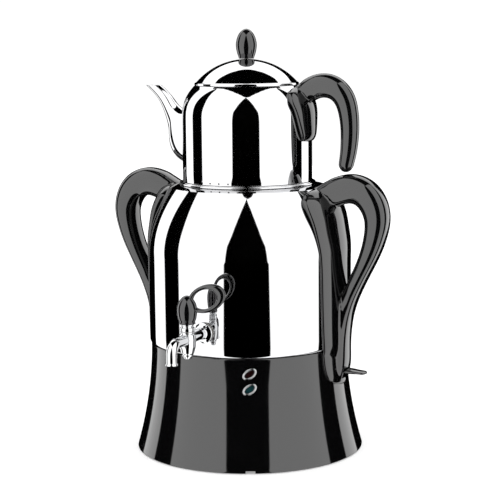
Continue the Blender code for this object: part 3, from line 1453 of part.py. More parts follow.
def pot_envelope(name, seat):
    """The teapot as one plain body with a clearance, for cutting what is fixed to it."""
    outline = [(pot_radius(height) + CLEARANCE, height) for height in heights(POT_WALL_HEIGHT, POT_RIM, POT_RINGS)]
    profile = [(0, -CUT_OVERRUN), (POT_RADIUS + CLEARANCE, -CUT_OVERRUN)] + outline
    profile += [(LID_RADIUS + CLEARANCE, POT_RIM + CLEARANCE)]
    profile += [(LID_RADIUS + CLEARANCE, POT_RIM + LID_RADIUS), (0, POT_RIM + LID_RADIUS)]
    return guide(name, turned(profile, POT_SIDES), Matrix(), seat)


def make_hook(finish, seat, pot):
    """Teapot handle: a pad on the wall and an open hook, held by a bolt from inside."""
    hook = piece(
        "teapot_handle",
        hugging_pad(
            HOOK_PAD_SHARES,
            pot_radius,
            HOOK_TIP_HEIGHT,
            HOOK_RISE,
            HOOK_PAD_HALF_ANGLE,
            HOOK_PAD_CROWN,
            HOOK_PAD_EDGE,
        ),
        finish["black"],
        Matrix(),
        seat,
    )
    bar = handle_bar(HOOK_SHARES, POT_RADIUS, HOOK_REACH, HOOK_TIP_HEIGHT, HOOK_RISE, HOOK_DEPTH, HOOK_WIDTH)
    join(hook, guide("join_hook_bar", bar, Matrix(), seat))
    cut(hook, pot_envelope("cut_hook_root", seat))

    height = HOOK_TIP_HEIGHT + HOOK_BOLT_SHARE * HOOK_RISE
    bolt_seat = POT_RADIUS - POT_SHEET - 2 * CLEARANCE - POT_RADIUS * (1 - math.cos(math.pi / POT_SIDES))
    bolt_seat -= POT_RADIUS - math.sqrt(POT_RADIUS**2 - HOOK_BOLT_HEAD_RADIUS**2)
    tip = POT_RADIUS + HOOK_BOLT_BITE
    radial_screw(
        "teapot_handle_bolt",
        height,
        HOOK_BOLT_HEAD_RADIUS,
        HOOK_BOLT_HEAD,
        HOOK_BOLT_RADIUS,
        bolt_seat,
        tip,
        finish["zinc"],
        None,
        seat,
    )
    hole = guide(
        "cut_hook_bolt",
        round_bar(HOOK_BOLT_RADIUS + CLEARANCE, bolt_seat - CUT_OVERRUN, tip + CLEARANCE, SCREW_SIDES),
        Matrix.Translation((0, 0, height)) @ along((1, 0, 0)),
        seat,
    )
    cut(hook, hole)
    cut(pot, hole)


def make_lid(finish, seat):
    """Domed lid with its knob and the screw that holds the knob."""
    lid_seat = pivot("lid_seat", (0, 0, POT_RIM + CLEARANCE), seat)
    dome_edge = LID_RADIUS - LID_RIM_STEP
    apex = LID_RIM_HEIGHT + LID_RIM_ROUND + LID_DOME_RADIUS - math.sqrt(LID_DOME_RADIUS**2 - dome_edge**2)
    hole = KNOB_SCREW_RADIUS + CLEARANCE
    dome = []
    for index in range(LID_DOME_RINGS + 1):
        radius = hole + (dome_edge - hole) * index / LID_DOME_RINGS
        dome.append((radius, apex - LID_DOME_RADIUS + math.sqrt(LID_DOME_RADIUS**2 - radius**2)))
    skirt = POT_MOUTH_RADIUS - 2 * CLEARANCE
    hollow = dome_edge - LID_SHEET
    inside = []
    for share in heights(0, 1, LID_INNER_RINGS):
        radius = hole + (hollow - hole) * share
        inside.append((radius, apex - LID_DOME_RADIUS - LID_SHEET + math.sqrt(LID_DOME_RADIUS**2 - radius**2)))
    profile = dome + [
        (LID_RADIUS - LID_RIM_ROUND, LID_RIM_HEIGHT),
        (LID_RADIUS, LID_RIM_HEIGHT - LID_RIM_ROUND),
        (LID_RADIUS, LID_RIM_ROUND),
        (LID_RADIUS - LID_RIM_ROUND, 0),
        (skirt, 0),
        (skirt, -LID_SKIRT_DEPTH),
        (skirt - LID_SHEET, -LID_SKIRT_DEPTH),
        (skirt - LID_SHEET, LID_SHEET),
        (hollow, LID_SHEET),
    ]
    profile += inside[::-1]
    piece("lid_dome", turned(profile, POT_SIDES, closed=True), finish["steel"], Matrix(), lid_seat)

    foot = apex + CLEARANCE
    egg = [(0, foot)] + [(KNOB_RADIUS * wide, foot + KNOB_HEIGHT * up) for wide, up in EGG_SHARES]
    knob = piece("lid_knob", turned(egg, SMALL_SIDES), finish["black"], Matrix(), lid_seat)
    screw_seat = apex - LID_SHEET - 2 * CLEARANCE
    tip = foot + KNOB_SCREW_BITE
    screw = screw_outline(KNOB_SCREW_HEAD_RADIUS, KNOB_SCREW_HEAD, KNOB_SCREW_RADIUS, screw_seat, tip)
    piece("lid_screw", turned(screw, SCREW_SIDES), finish["zinc"], Matrix(), lid_seat)
    cut(
        knob,
        guide(
            "cut_knob_bore",
            round_bar(KNOB_SCREW_RADIUS + CLEARANCE, foot - CUT_OVERRUN, tip + CLEARANCE, SCREW_SIDES),
            Matrix(),
            lid_seat,
        ),
    )


def make_samovar():
    """Clears the scene and builds every piece."""
    for item in list(bpy.data.objects):
        bpy.data.objects.remove(item)
    finish = finishes()
    panel_angle = FRONT_PANEL_ANGLE - math.pi / 2
    shell = make_base(finish, around(panel_angle))
    make_plate(finish)
    boiler = make_boiler(finish)
    make_heater(finish)
    handles = make_boiler_handles(finish, boiler, shell)
    make_tap(finish, boiler)
    make_lamps(finish, shell, panel_angle)
    make_switch(finish, shell, handles["handle_right"])
    make_inlet(finish, shell)
    seat = make_pot(finish)
    make_lid(finish, seat)


make_samovar()
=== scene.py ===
"""Looks of an electric samovar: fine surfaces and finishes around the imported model.

Metres, +Z up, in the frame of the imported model: the origin is the middle of the base plate's underside,
the tap points to -Y, the boiler's handles stand at +X and -X, and the teapot's spout points to -X.
Each sub-assembly is a class with its sizes as fields. It works its surfaces out with numpy, hands each
piece to the workshop, and the workshop dresses it and puts it on its body.
"""

import json
import logging
import math
from dataclasses import dataclass, field
from enum import Enum
from typing import Callable, Sequence, Union

import bmesh
import bpy
import numpy as np
from mathutils import Matrix, Vector


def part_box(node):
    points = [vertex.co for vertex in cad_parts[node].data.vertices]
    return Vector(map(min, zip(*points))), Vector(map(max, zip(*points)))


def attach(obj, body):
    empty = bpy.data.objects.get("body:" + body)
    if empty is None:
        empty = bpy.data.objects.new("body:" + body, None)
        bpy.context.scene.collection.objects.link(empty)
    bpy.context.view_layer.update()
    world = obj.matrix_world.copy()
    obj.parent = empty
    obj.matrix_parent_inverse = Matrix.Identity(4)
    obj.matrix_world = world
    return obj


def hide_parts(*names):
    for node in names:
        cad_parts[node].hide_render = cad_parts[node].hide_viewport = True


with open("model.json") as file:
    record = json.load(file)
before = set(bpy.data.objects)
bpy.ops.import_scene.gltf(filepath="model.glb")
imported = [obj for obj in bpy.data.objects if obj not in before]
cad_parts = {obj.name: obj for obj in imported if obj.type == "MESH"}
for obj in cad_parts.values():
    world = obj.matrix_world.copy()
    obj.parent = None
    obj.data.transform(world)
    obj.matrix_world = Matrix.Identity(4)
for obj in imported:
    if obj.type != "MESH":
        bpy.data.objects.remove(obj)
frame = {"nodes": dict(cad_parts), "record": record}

LOG = logging.getLogger("samovar")
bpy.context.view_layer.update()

Rows = Sequence[Sequence[float]]
Number = Union[float, "Term"]
Wall = Callable[[np.ndarray], np.ndarray]

WELD = 1e-7           # points closer than this are one point
OVERRUN = 0.004       # how far a cutting tool runs past what it cuts
CURVE_SCALE = 90.0    # what a white stop of a curve's ramp stands for, in degrees


class BodyName(Enum):
    """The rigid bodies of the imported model."""

    BASE = "boiler_and_base"
    KEY = "tap_key_and_plug"
    SWITCH = "switch"
    TEAPOT = "teapot"
    LID = "lid"


class Slot(Enum):
    """The record's material slots."""

    STEEL = "mirror_steel"
    CHROME = "bright_chrome"
    BLACK = "gloss_black_plastic"
    DULL = "dark_plastic"
    RUBBER = "black_rubber"
    ZINC = "zinc_plated_steel"
    ALUMINIUM = "cast_aluminium"
    BRASS = "plain_brass"
    SILICONE = "pale_silicone"
    RED_LENS = "dark_red_lens"
    GREEN_LENS = "green_lens"


class Change(Enum):
    """How a tool changes a piece."""

    CUT = "DIFFERENCE"
    JOIN = "UNION"


class Term:
    """A shader socket in an expression: each operator adds its Math node."""

    def __init__(self, shader: "Shader", socket: bpy.types.NodeSocket) -> None:
        """Keeps the shader that owns the socket."""
        self.shader = shader
        self.socket = socket

    def math(self, operation: str, *values: Number) -> "Term":
        """Adds one Math node.

        Args:
            operation: The node's operation.
            values: What goes into its sockets, in order.

        Returns:
            The node's result.
        """
        return self.shader.term("ShaderNodeMath", 0, {"operation": operation}, dict(enumerate(values)))

    def __add__(self, other: Number) -> "Term":
        """Sum."""
        return self.math("ADD", self, other)

    def __radd__(self, other: Number) -> "Term":
        """Sum with a number in front."""
        return self.math("ADD", other, self)

    def __sub__(self, other: Number) -> "Term":
        """Difference."""
        return self.math("SUBTRACT", self, other)

    def __rsub__(self, other: Number) -> "Term":
        """Difference from a number in front."""
        return self.math("SUBTRACT", other, self)

    def __mul__(self, other: Number) -> "Term":
        """Product."""
        return self.math("MULTIPLY", self, other)

    def __rmul__(self, other: Number) -> "Term":
        """Product with a number in front."""
        return self.math("MULTIPLY", other, self)

    def __truediv__(self, other: Number) -> "Term":
        """Quotient."""
        return self.math("DIVIDE", self, other)

    def __abs__(self) -> "Term":
        """Size without sign."""
        return self.math("ABSOLUTE", self)

    def highest(self, other: Number) -> "Term":
        """The larger of two values."""
        return self.math("MAXIMUM", self, other)

    def lowest(self, other: Number) -> "Term":
        """The smaller of two values."""
        return self.math("MINIMUM", self, other)

    def rise(self, low: Number, high: Number) -> "Term":
        """A smooth step from 0 at low to 1 at high."""
        inputs = {"Value": self, "From Min": low, "From Max": high}
        return self.shader.term("ShaderNodeMapRange", 0, {"interpolation_type": "SMOOTHSTEP"}, inputs)


class Shader:
    """A node tree that is written in expressions."""

    def __init__(self, tree: bpy.types.NodeTree) -> None:
        """Starts from an empty tree."""
        self.tree = tree
        tree.nodes.clear()

    def node(self, kind: str, settings: dict | None = None, inputs: dict | None = None) -> bpy.types.Node:
        """Adds a node, its settings first and its sockets after them.

        Args:
            kind: The node's type name.
            settings: Properties of the node; "ramp" holds a colour ramp's stops.
            inputs: Values, terms or sockets, by the input's name or place.

        Returns:
            The node.
        """
        made = self.tree.nodes.new(kind)
        for name, value in (settings or {}).items():
            if name == "ramp":
                for index, (place, colour) in enumerate(value):
                    stops = made.color_ramp.elements
                    stop = stops[index] if index < len(stops) else stops.new(place)
                    stop.position = place
                    stop.color = (*colour, 1)
            else:
                setattr(made, name, value)
        for name, value in (inputs or {}).items():
            source = value.socket if isinstance(value, Term) else value
            if isinstance(source, bpy.types.NodeSocket):
                self.tree.links.new(source, made.inputs[name])
            else:
                made.inputs[name].default_value = source
        return made

    def term(
        self, kind: str, output: int | str, settings: dict | None = None, inputs: dict | None = None
    ) -> Term:
        """Adds a node and returns one of its outputs as a term."""
        return Term(self, self.node(kind, settings, inputs).outputs[output])

    def place(self, stretch: tuple[float, float, float] = (1, 1, 1)) -> Term:
        """Object coordinates, stretched along the axes."""
        spot = self.term("ShaderNodeTexCoord", "Object")
        return self.term("ShaderNodeMapping", 0, None, {"Vector": spot, "Scale": stretch})

    def noise(self, spot: Term, scale: float, detail: float = 2.0, rough: float = 0.5) -> Term:
        """Cloudy noise from 0 to 1."""
        inputs = {"Vector": spot, "Scale": scale, "Detail": detail, "Roughness": rough}
        return self.term("ShaderNodeTexNoise", 0, None, inputs)

    def mix(self, share: Number, first: Sequence[float] | Term, second: Sequence[float] | Term) -> Term:
        """A blend of two colours.

        Args:
            share: The second colour's share.
            first: Colour at 0.
            second: Colour at 1.

        Returns:
            The blend.
        """
        made = self.node("ShaderNodeMix", {"data_type": "RGBA"}, {0: share})
        for socket, colour in ((made.inputs[6], first), (made.inputs[7], second)):
            if isinstance(colour, Term):
                self.tree.links.new(colour.socket, socket)
            else:
                socket.default_value = (*colour, 1)
        return Term(self, made.outputs[2])

    def bump(self, height: Number, depth: float) -> Term:
        """A normal bent by a height from 0 to 1, which stands for a depth in metres."""
        return self.term("ShaderNodeBump", 0, None, {"Height": height, "Distance": depth, "Strength": 1.0})

    def curve(self, value: Term, points: Rows) -> Term:
        """A line through points, read at a value: a ramp of greys that stand for shares of a scale.

        Args:
            value: Where the line is read.
            points: Rows of place and height, in degrees.

        Returns:
            The line's height there.
        """
        low, high = points[0][0], points[-1][0]
        stops = [((at - low) / (high - low), (height / CURVE_SCALE,) * 3) for at, height in points]
        share = (value - low) / (high - low)
        return self.term("ShaderNodeValToRGB", 0, {"ramp": stops}, {0: share}) * CURVE_SCALE

    def surface(self, inputs: dict) -> None:
        """Adds the Principled surface with its inputs, and the material's output."""
        made = self.node("ShaderNodeBsdfPrincipled", None, inputs)
        self.node("ShaderNodeOutputMaterial", None, {"Surface": made.outputs[0]})


def new_material(name: str) -> tuple[bpy.types.Material, Shader]:
    """An empty material and its shader."""
    made = bpy.data.materials.new(name)
    made.use_nodes = True
    return made, Shader(made.node_tree)


@dataclass(frozen=True)
class MetalFinish:
    """Polished, plated or cast metal.

    Fine lines run across the axis that the stretch packs most, smudges dull it in soft patches, and
    pits break the surface of castings. A pair of edges is where a noise fades in and where it is full.
    """

    colour: tuple[float, float, float]
    roughness: float
    smudge: float = 0.02
    stretch: tuple[float, float, float] = (30, 30, 900)
    line_depth: float = 2e-7
    pit_depth: float = 0.0
    pit_scale: float = 900
    pit_edges: tuple[float, float] = (0.3, 0.7)
    lines_over_pits: float = 0.2
    cloud_scale: float = 22
    cloud_edges: tuple[float, float] = (0.35, 0.75)
    tint: tuple[float, float, float] = (0.94, 0.95, 0.97)
    tint_share: float = 0.5
    line_smudge: float = 0.5

    def make(self, name: str) -> bpy.types.Material:
        """Makes the material under a slot's name.

        Args:
            name: The slot's name.

        Returns:
            The material.
        """
        material, shader = new_material(name)
        cloud = shader.noise(shader.place(), self.cloud_scale, detail=3)
        lines = shader.noise(shader.place(self.stretch), scale=1.0, rough=0.6)
        patch = cloud.rise(*self.cloud_edges)
        tinted = tuple(value * share for value, share in zip(self.colour, self.tint))
        base = shader.mix(patch * self.tint_share, self.colour, tinted)
        height = lines
        depth = self.line_depth
        if self.pit_depth:
            pits = shader.noise(shader.place(), self.pit_scale, detail=3).rise(*self.pit_edges)
            height = pits + lines * self.lines_over_pits
            depth = self.pit_depth
        roughness = self.roughness + self.smudge * patch + self.smudge * self.line_smudge * lines
        normal = shader.bump(height, depth)
        shader.surface({"Base Color": base, "Metallic": 1.0, "Roughness": roughness, "Normal": normal})
        return material


@dataclass(frozen=True)
class MouldedFinish:
    """Moulded plastic, rubber or silicone, with the mould's texture and faint wear in its gloss."""

    colour: tuple[float, float, float]
    roughness: float
    wear: float = 0.03
    texture_depth: float = 1e-6
    texture_scale: float = 500
    refraction: float = 1.5
    second: tuple[float, float, float] | None = None
    second_gain: float = 1.35
    cloud_scale: float = 35
    mottle_edges: tuple[float, float] = (0.3, 0.8)
    mottle_share: float = 0.6
    wear_edges: tuple[float, float] = (0.4, 0.8)
    texture_wear: float = 0.4

    def make(self, name: str) -> bpy.types.Material:
        """Makes the material under a slot's name.

        Args:
            name: The slot's name.

        Returns:
            The material.
        """
        material, shader = new_material(name)
        cloud = shader.noise(shader.place(), self.cloud_scale, detail=3)
        fine = shader.noise(shader.place(), self.texture_scale, detail=3, rough=0.6)
        other = self.second or tuple(value * self.second_gain for value in self.colour)
        mottle = cloud.rise(*self.mottle_edges) * self.mottle_share
        worn = self.roughness + self.wear * cloud.rise(*self.wear_edges)
        inputs = {
            "Base Color": shader.mix(mottle, self.colour, other),
            "Roughness": worn + self.wear * self.texture_wear * fine,
            "IOR": self.refraction,
            "Normal": shader.bump(fine, self.texture_depth),
        }
        shader.surface(inputs)
        return material


@dataclass(frozen=True)
class LensFinish:
    """Tinted clear plastic over a lamp, with prisms moulded behind it; a painted glow makes it lighter in
    the middle.
    """

    rim_colour: tuple[float, float, float]
    # painted_glow_colour is the painted glow at the lens's middle; middle is where that glow is centred.
    painted_glow_colour: tuple[float, float, float]
    middle: tuple[float, float, float]
    reach: float = 0.0075
    prism_scale: float = 1400.0
    prism_glow: float = 0.35
    prism_depth: float = 4e-6
    # shade lowers the painted glow's share everywhere.
    shade: float = 0.15
    roughness: float = 0.04
    prism_roughness: float = 0.05

    def make(self, name: str) -> bpy.types.Material:
        """Makes the material under a slot's name.

        Args:
            name: The slot's name.

        Returns:
            The material.
        """
        material, shader = new_material(name)
        spot = shader.place()
        ends = {0: spot, 1: self.middle}
        away = shader.term("ShaderNodeVectorMath", "Value", {"operation": "DISTANCE"}, ends)
        prisms = shader.term("ShaderNodeTexVoronoi", 0, None, {"Vector": spot, "Scale": self.prism_scale})
        # Painted glow: the share of the lighter glow colour falls from the middle towards the rim, and the
        # prisms add to it.
        share = (1 - (away / self.reach)).highest(0) + prisms * self.prism_glow - self.shade
        inputs = {
            "Base Color": shader.mix(share.lowest(1).highest(0), self.rim_colour, self.painted_glow_colour),
            "Roughness": self.roughness + prisms * self.prism_roughness,
            "Normal": shader.bump(prisms, self.prism_depth),
        }
        shader.surface(inputs)
        return material


def flowing(table: Rows, count: int, spread: int = 2) -> np.ndarray:
    """Natural cubic spline through rows, spaced by the distance between their first columns.

    The bends at the rows solve one linear system, and each stretch is then a cubic of its two ends.

    Args:
        table: Rows of places and other values.
        count: How many rows to return.
        spread: How many of the first columns measure the distance.

    Returns:
        The evenly spaced rows.
    """
    rows = np.asarray(table, float)
    knots = np.concatenate([[0], np.cumsum(np.linalg.norm(np.diff(rows[:, :spread], axis=0), axis=1))])
    gaps = np.diff(knots)
    inner = np.arange(1, len(knots) - 1)
    system = np.eye(len(knots))
    system[inner, inner - 1] = gaps[:-1]
    system[inner, inner] = 2 * (gaps[:-1] + gaps[1:])
    system[inner, inner + 1] = gaps[1:]
    slopes = np.diff(rows, axis=0) / gaps[:, None]
    wanted = np.zeros_like(rows)
    wanted[1:-1] = 6 * np.diff(slopes, axis=0)
    bends = np.linalg.solve(system, wanted)
    at = np.linspace(0, knots[-1], count)
    cell = np.clip(np.searchsorted(knots, at, side="right") - 1, 0, len(gaps) - 1)
    gap = gaps[cell][:, None]
    past = (at - knots[cell])[:, None]
    left = gap - past
    cubic = (bends[cell] * left**3 + bends[cell + 1] * past**3) / (6 * gap)
    return cubic + (rows[cell] / gap - bends[cell] * gap / 6) * left + (
        rows[cell + 1] / gap - bends[cell + 1] * gap / 6
    ) * past


def rounded(corners: Rows, closed: bool = False, steps: int = 6) -> np.ndarray:
    """An outline whose corners are cut by circles tangent to both sides.

    Args:
        corners: Rows of radius, height and the corner's own fillet radius.
        closed: Whether the last corner runs on to the first.
        steps: Points in each fillet.

    Returns:
        Rows of radius and height.
    """
    spots = np.asarray(corners, float)
    parts = []
    for index, (radius, height, fillet) in enumerate(spots):
        corner = np.array((radius, height))
        if fillet <= 0 or (not closed and index in (0, len(spots) - 1)):
            parts.append(corner[None])
            continue
        back = spots[index - 1, :2] - corner
        ahead = spots[(index + 1) % len(spots), :2] - corner
        back /= np.linalg.norm(back)
        ahead /= np.linalg.norm(ahead)
        half = 0.5 * math.acos(float(np.clip(back @ ahead, -1, 1)))
        middle = (back + ahead) / np.linalg.norm(back + ahead)
        centre = corner + middle * fillet / math.sin(half)
        first = corner + back * fillet / math.tan(half) - centre
        last = corner + ahead * fillet / math.tan(half) - centre
        turn = math.pi - 2 * half
        share = np.linspace(0, 1, steps)[:, None]
        arc = np.sin((1 - share) * turn) * first + np.sin(share * turn) * last
        parts.append(centre + arc / math.sin(turn))
    return np.vstack(parts)


def inward(radii: np.ndarray, heights: np.ndarray, sheet: float) -> np.ndarray:
    """The inner outline of a drawn sheet: each point goes the sheet's thickness along its normal.

    Args:
        radii: Outer radii, from below upwards.
        heights: Their heights.
        sheet: The sheet's thickness.

    Returns:
        Rows of radius, height and a fillet radius of 0.
    """
    slope = np.gradient(radii, heights)
    length = np.hypot(slope, 1)
    return np.column_stack([radii - sheet / length, heights + sheet * slope / length, 0 * heights])


def circle_shares(count: int, power: float = 2.0) -> tuple[np.ndarray, np.ndarray]:
    """Cosine and sine round a full turn; a power above 2 squares the circle off.

    Args:
        count: How many points go round.
        power: 2 for a circle, more for a squarer loop.

    Returns:
        Shares across and along.
    """
    turns = np.linspace(0, 2 * math.pi, count, endpoint=False)
    across, along = np.cos(turns), np.sin(turns)
    exponent = 2 / power
    return np.sign(across) * np.abs(across) ** exponent, np.sign(along) * np.abs(along) ** exponent


def sheet_piece(
    name: str, grid: np.ndarray, wrap_rows: bool = False, wrap_columns: bool = True, caps: bool = False
) -> bpy.types.Object:
    """Makes a piece from a grid of points, with its faces pointing out.

    Args:
        name: The piece's name.
        grid: Points, in rows and columns.
        wrap_rows: Whether the last row joins the first.
        wrap_columns: Whether the last column joins the first.
        caps: Whether the first and the last row are closed by a face each.

    Returns:
        The piece, at the origin.
    """
    rows, columns = grid.shape[:2]
    index = np.arange(rows * columns).reshape(rows, columns)
    if wrap_columns:
        index = np.hstack([index, index[:, :1]])
    if wrap_rows:
        index = np.vstack([index, index[:1]])
    quads = np.stack([index[:-1, :-1], index[:-1, 1:], index[1:, 1:], index[1:, :-1]], -1)
    faces = quads.reshape(-1, 4).tolist()
    if caps:
        faces += [index[0, :columns].tolist(), index[rows - 1, :columns].tolist()]
    mesh = bpy.data.meshes.new(name)
    mesh.from_pydata(grid.reshape(-1, 3).tolist(), [], faces)
    maker = bmesh.new()
    maker.from_mesh(mesh)
    bmesh.ops.remove_doubles(maker, verts=maker.verts, dist=WELD)
    bmesh.ops.dissolve_degenerate(maker, dist=WELD, edges=maker.edges)
    bmesh.ops.recalc_face_normals(maker, faces=maker.faces)
    maker.to_mesh(mesh)
    maker.free()
    made = bpy.data.objects.new(name, mesh)
    bpy.context.scene.collection.objects.link(made)
    return made


def spun(outline: np.ndarray, sides: int) -> np.ndarray:
    """Grid of an outline turned about Z: (radius cos t, radius sin t, height)."""
    turns = np.linspace(0, 2 * math.pi, sides, endpoint=False)
    radius, height = outline[:, :1], outline[:, 1:2]
    return np.stack([radius * np.cos(turns), radius * np.sin(turns), height + 0 * turns], -1)


def turned(name: str, outline: np.ndarray, sides: int = 96, closed: bool = False) -> bpy.types.Object:
    """A piece turned about Z from an outline that ends on the axis or closes on itself."""
    return sheet_piece(name, spun(outline, sides), wrap_rows=closed)


def moved(points: np.ndarray, place: Matrix) -> np.ndarray:
    """Points carried by a matrix."""
    matrix = np.array(place)
    return points @ matrix[:3, :3].T + matrix[:3, 3]


def facing(direction: Sequence[float]) -> Matrix:
    """The rotation that turns +Z to a direction."""
    return Vector(direction).to_track_quat("Z", "Y").to_matrix().to_4x4()


def swept(path: np.ndarray, across: np.ndarray, along: np.ndarray, side: Sequence[float]) -> np.ndarray:
    """Grid of sections square to a path that lies in a plane.

    A section's point is the path's point, plus its first half size along the plane's normal and its
    second half size along the line square to both path and normal.

    Args:
        path: Points of the path, one row each.
        across: Half sizes along the plane's normal, a row of columns for each point.
        along: Half sizes square to it.
        side: The plane's normal.

    Returns:
        The grid of points.
    """
    forward = np.gradient(path, axis=0)
    forward /= np.linalg.norm(forward, axis=1, keepdims=True)
    normal = np.asarray(side, float)
    outward = np.cross(np.broadcast_to(normal, forward.shape), forward)
    return path[:, None] + across[..., None] * normal + along[..., None] * outward[:, None]


def reshaped(piece: bpy.types.Object, change: Change, *tools: bpy.types.Object) -> bpy.types.Object:
    """Cuts a piece with tools or joins them to it, and uses the tools up.

    Args:
        piece: The piece.
        change: Whether the tools are cut away or joined on.
        tools: The tools, which are deleted.

    Returns:
        The piece, with its new mesh.
    """
    for tool in tools:
        modifier = piece.modifiers.new(change.name, "BOOLEAN")
        modifier.operation = change.value
        modifier.object = tool
        modifier.solver = "EXACT"
    graph = bpy.context.evaluated_depsgraph_get()
    result = bpy.data.meshes.new_from_object(piece.evaluated_get(graph))
    piece.modifiers.clear()
    old = piece.data
    piece.data = result
    result.name = piece.name
    bpy.data.meshes.remove(old)
    for tool in tools:
        bpy.data.objects.remove(tool)
    return piece


def mesh_points(piece: bpy.types.Object) -> np.ndarray:
    """All points of a piece as an array."""
    points = np.empty(len(piece.data.vertices) * 3)
    piece.data.vertices.foreach_get("co", points)
    return points.reshape(-1, 3)


def relax(piece: bpy.types.Object, weights: np.ndarray, rounds: int) -> None:
    """Softens a crease: in each round a point moves towards the middle of its neighbours.

    A point of weight 1 goes half of the way, and a point of weight 0 stays.

    Args:
        piece: The piece.
        weights: A weight for each of its points.
        rounds: How often the points move.
    """
    mesh = piece.data
    points = mesh_points(piece)
    ends = np.empty(len(mesh.edges) * 2, np.int64)
    mesh.edges.foreach_get("vertices", ends)
    ends = ends.reshape(-1, 2)
    degree = np.maximum(np.bincount(ends.ravel(), minlength=len(points)), 1)[:, None]
    pull = 0.5 * weights[:, None]
    for _ in range(rounds):
        total = np.zeros_like(points)
        np.add.at(total, ends[:, 0], points[ends[:, 1]])
        np.add.at(total, ends[:, 1], points[ends[:, 0]])
        points += pull * (total / degree - points)
    mesh.vertices.foreach_set("co", points.ravel())
    mesh.update()


def box_tool(name: str, size: Sequence[float], place: Matrix) -> bpy.types.Object:
    """A block for cutting, with its middle at a place.

    Args:
        name: The tool's name.
        size: Its three sides.
        place: Where its middle is and how it is turned.

    Returns:
        The tool.
    """
    half = np.asarray(size) / 2
    loop = np.array([(-1, -1), (1, -1), (1, 1), (-1, 1)]) * half[:2]
    grid = np.stack([np.column_stack([loop, np.full(4, level)]) for level in (-half[2], half[2])])
    return sheet_piece(name, moved(grid, place), caps=True)


def rod_tool(
    name: str, radius: float, low: float, high: float, place: Matrix, sides: int = 32
) -> bpy.types.Object:
    """A round bar for cutting, along a place's Z from low to high."""
    grid = spun(np.array([(radius, low), (radius, high)]), sides)
    return sheet_piece(name, moved(grid, place), caps=True)


class Workshop:
    """Gives pieces their shading, their slot's material and their body, and hides the nodes that they stand
    for.
    """

    def __init__(self, materials: dict[Slot, bpy.types.Material]) -> None:
        """Keeps the materials."""
        self.materials = materials
        self.dressed: set[str] = set()

    def deliver(
        self,
        piece: bpy.types.Object,
        slot: Slot,
        body: BodyName,
        nodes: Sequence[str],
        crease: float = 32.0,
    ) -> None:
        """Finishes a new piece.

        Args:
            piece: The piece, in place.
            slot: The material slot that it takes its finish from.
            body: The body that it rides on.
            nodes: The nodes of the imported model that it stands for.
            crease: Edges sharper than this many degrees stay sharp.
        """
        piece.data.materials.clear()
        piece.data.materials.append(self.materials[slot])
        piece.data.shade_smooth()
        piece.data.set_sharp_from_angle(angle=math.radians(crease))
        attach(piece, body.value)
        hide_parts(*nodes)
        self.dressed.update(nodes)
        LOG.info("%s: %d faces, on %s", piece.name, len(piece.data.polygons), body.value)

    def dress_nodes(self, record: dict, nodes: dict[str, bpy.types.Object]) -> None:
        """Gives every node that stays its slot's material.

        Args:
            record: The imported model's record.
            nodes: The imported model's objects by name.
        """
        for entry in record["subparts"]:
            name = entry["node"]
            if name in self.dressed:
                continue
            node = nodes[name]
            node.data.materials.clear()
            node.data.materials.append(self.materials[Slot(entry["material_slot"])])
            LOG.info("%s keeps its own shape", name)


@dataclass(frozen=True)
class BodyForm:
    """Sizes and outlines of base and boiler, which the other pieces lean on."""

    clearance: float = 0.0003
    base_height: float = 0.107
    base_top_radius: float = 0.100
    flare: float = 0.016
    flare_power: float = 1.95
    skirt_drop: float = 0.0022
    boiler_radius: float = 0.1015
    wall_height: float = 0.092
    shoulder_height: float = 0.066
    shoulder_inset: float = 0.0225
    shoulder_power: float = 1.93
    land_rise: float = 0.0023
    bead_radius: float = 0.069
    bead_height: float = 0.0022
    step_height: float = 0.0005
    base_rows: int = 40
    boiler_rows: int = 90
    envelope_sides: int = 180

    @property
    def floor(self) -> float:
        """Height of the boiler's underside."""
        return self.base_height + self.clearance

    @property
    def shoulder_start(self) -> float:
        """Height where the wall begins to draw in."""
        return self.floor + self.wall_height

    @property
    def shoulder_top(self) -> float:
        """Height where the shoulder meets the land."""
        return self.shoulder_start + self.shoulder_height

    @property
    def land(self) -> float:
        """Height of the land round the boiler's mouth."""
        return self.shoulder_top + self.land_rise

    @property
    def seat_base(self) -> float:
        """Height of the seat ring's underside."""
        return self.land + self.clearance

    @property
    def seat_top(self) -> float:
        """Height of the face that carries the teapot."""
        return self.seat_base + self.bead_height + self.step_height

    @property
    def pot_base(self) -> float:
        """Height of the teapot's lower edge."""
        return self.seat_top + self.clearance

    def base(self, height: np.ndarray) -> np.ndarray:
        """Base radius: top radius plus the flare times (1 - share of the height) to a power."""
        share = (height + self.skirt_drop) / (self.base_height + self.skirt_drop)
        return self.base_top_radius + self.flare * np.maximum(1 - share, 0) ** self.flare_power

    def boiler(self, height: np.ndarray) -> np.ndarray:
        """Boiler radius: wall radius less the inset times the share of the shoulder to a power."""
        share = np.clip((height - self.shoulder_start) / self.shoulder_height, 0, 1)
        return self.boiler_radius - self.shoulder_inset * share**self.shoulder_power

    def wall(self, height: np.ndarray) -> np.ndarray:
        """Radius of what the handles lean on, base or boiler."""
        return np.where(height < self.base_height, self.base(height), self.boiler(height))

    def envelope(self, name: str) -> bpy.types.Object:
        """Base and boiler as one plain body with a clearance, for cutting what leans on them.

        Args:
            name: The tool's name.

        Returns:
            The tool.
        """
        lower = np.linspace(-self.skirt_drop - OVERRUN, self.base_height - self.clearance, self.base_rows)
        upper = np.linspace(self.base_height, self.shoulder_top, self.boiler_rows)
        heights = np.concatenate([lower, upper])
        outline = np.column_stack([self.wall(heights) + self.clearance, heights])
        ceiling = self.pot_base + OVERRUN
        bead = [(self.bead_radius, self.land + self.clearance), (self.bead_radius, ceiling)]
        rows = np.vstack([[(0, outline[0, 1])], outline, [*bead, (0, ceiling)]])
        return turned(name, rows, self.envelope_sides)


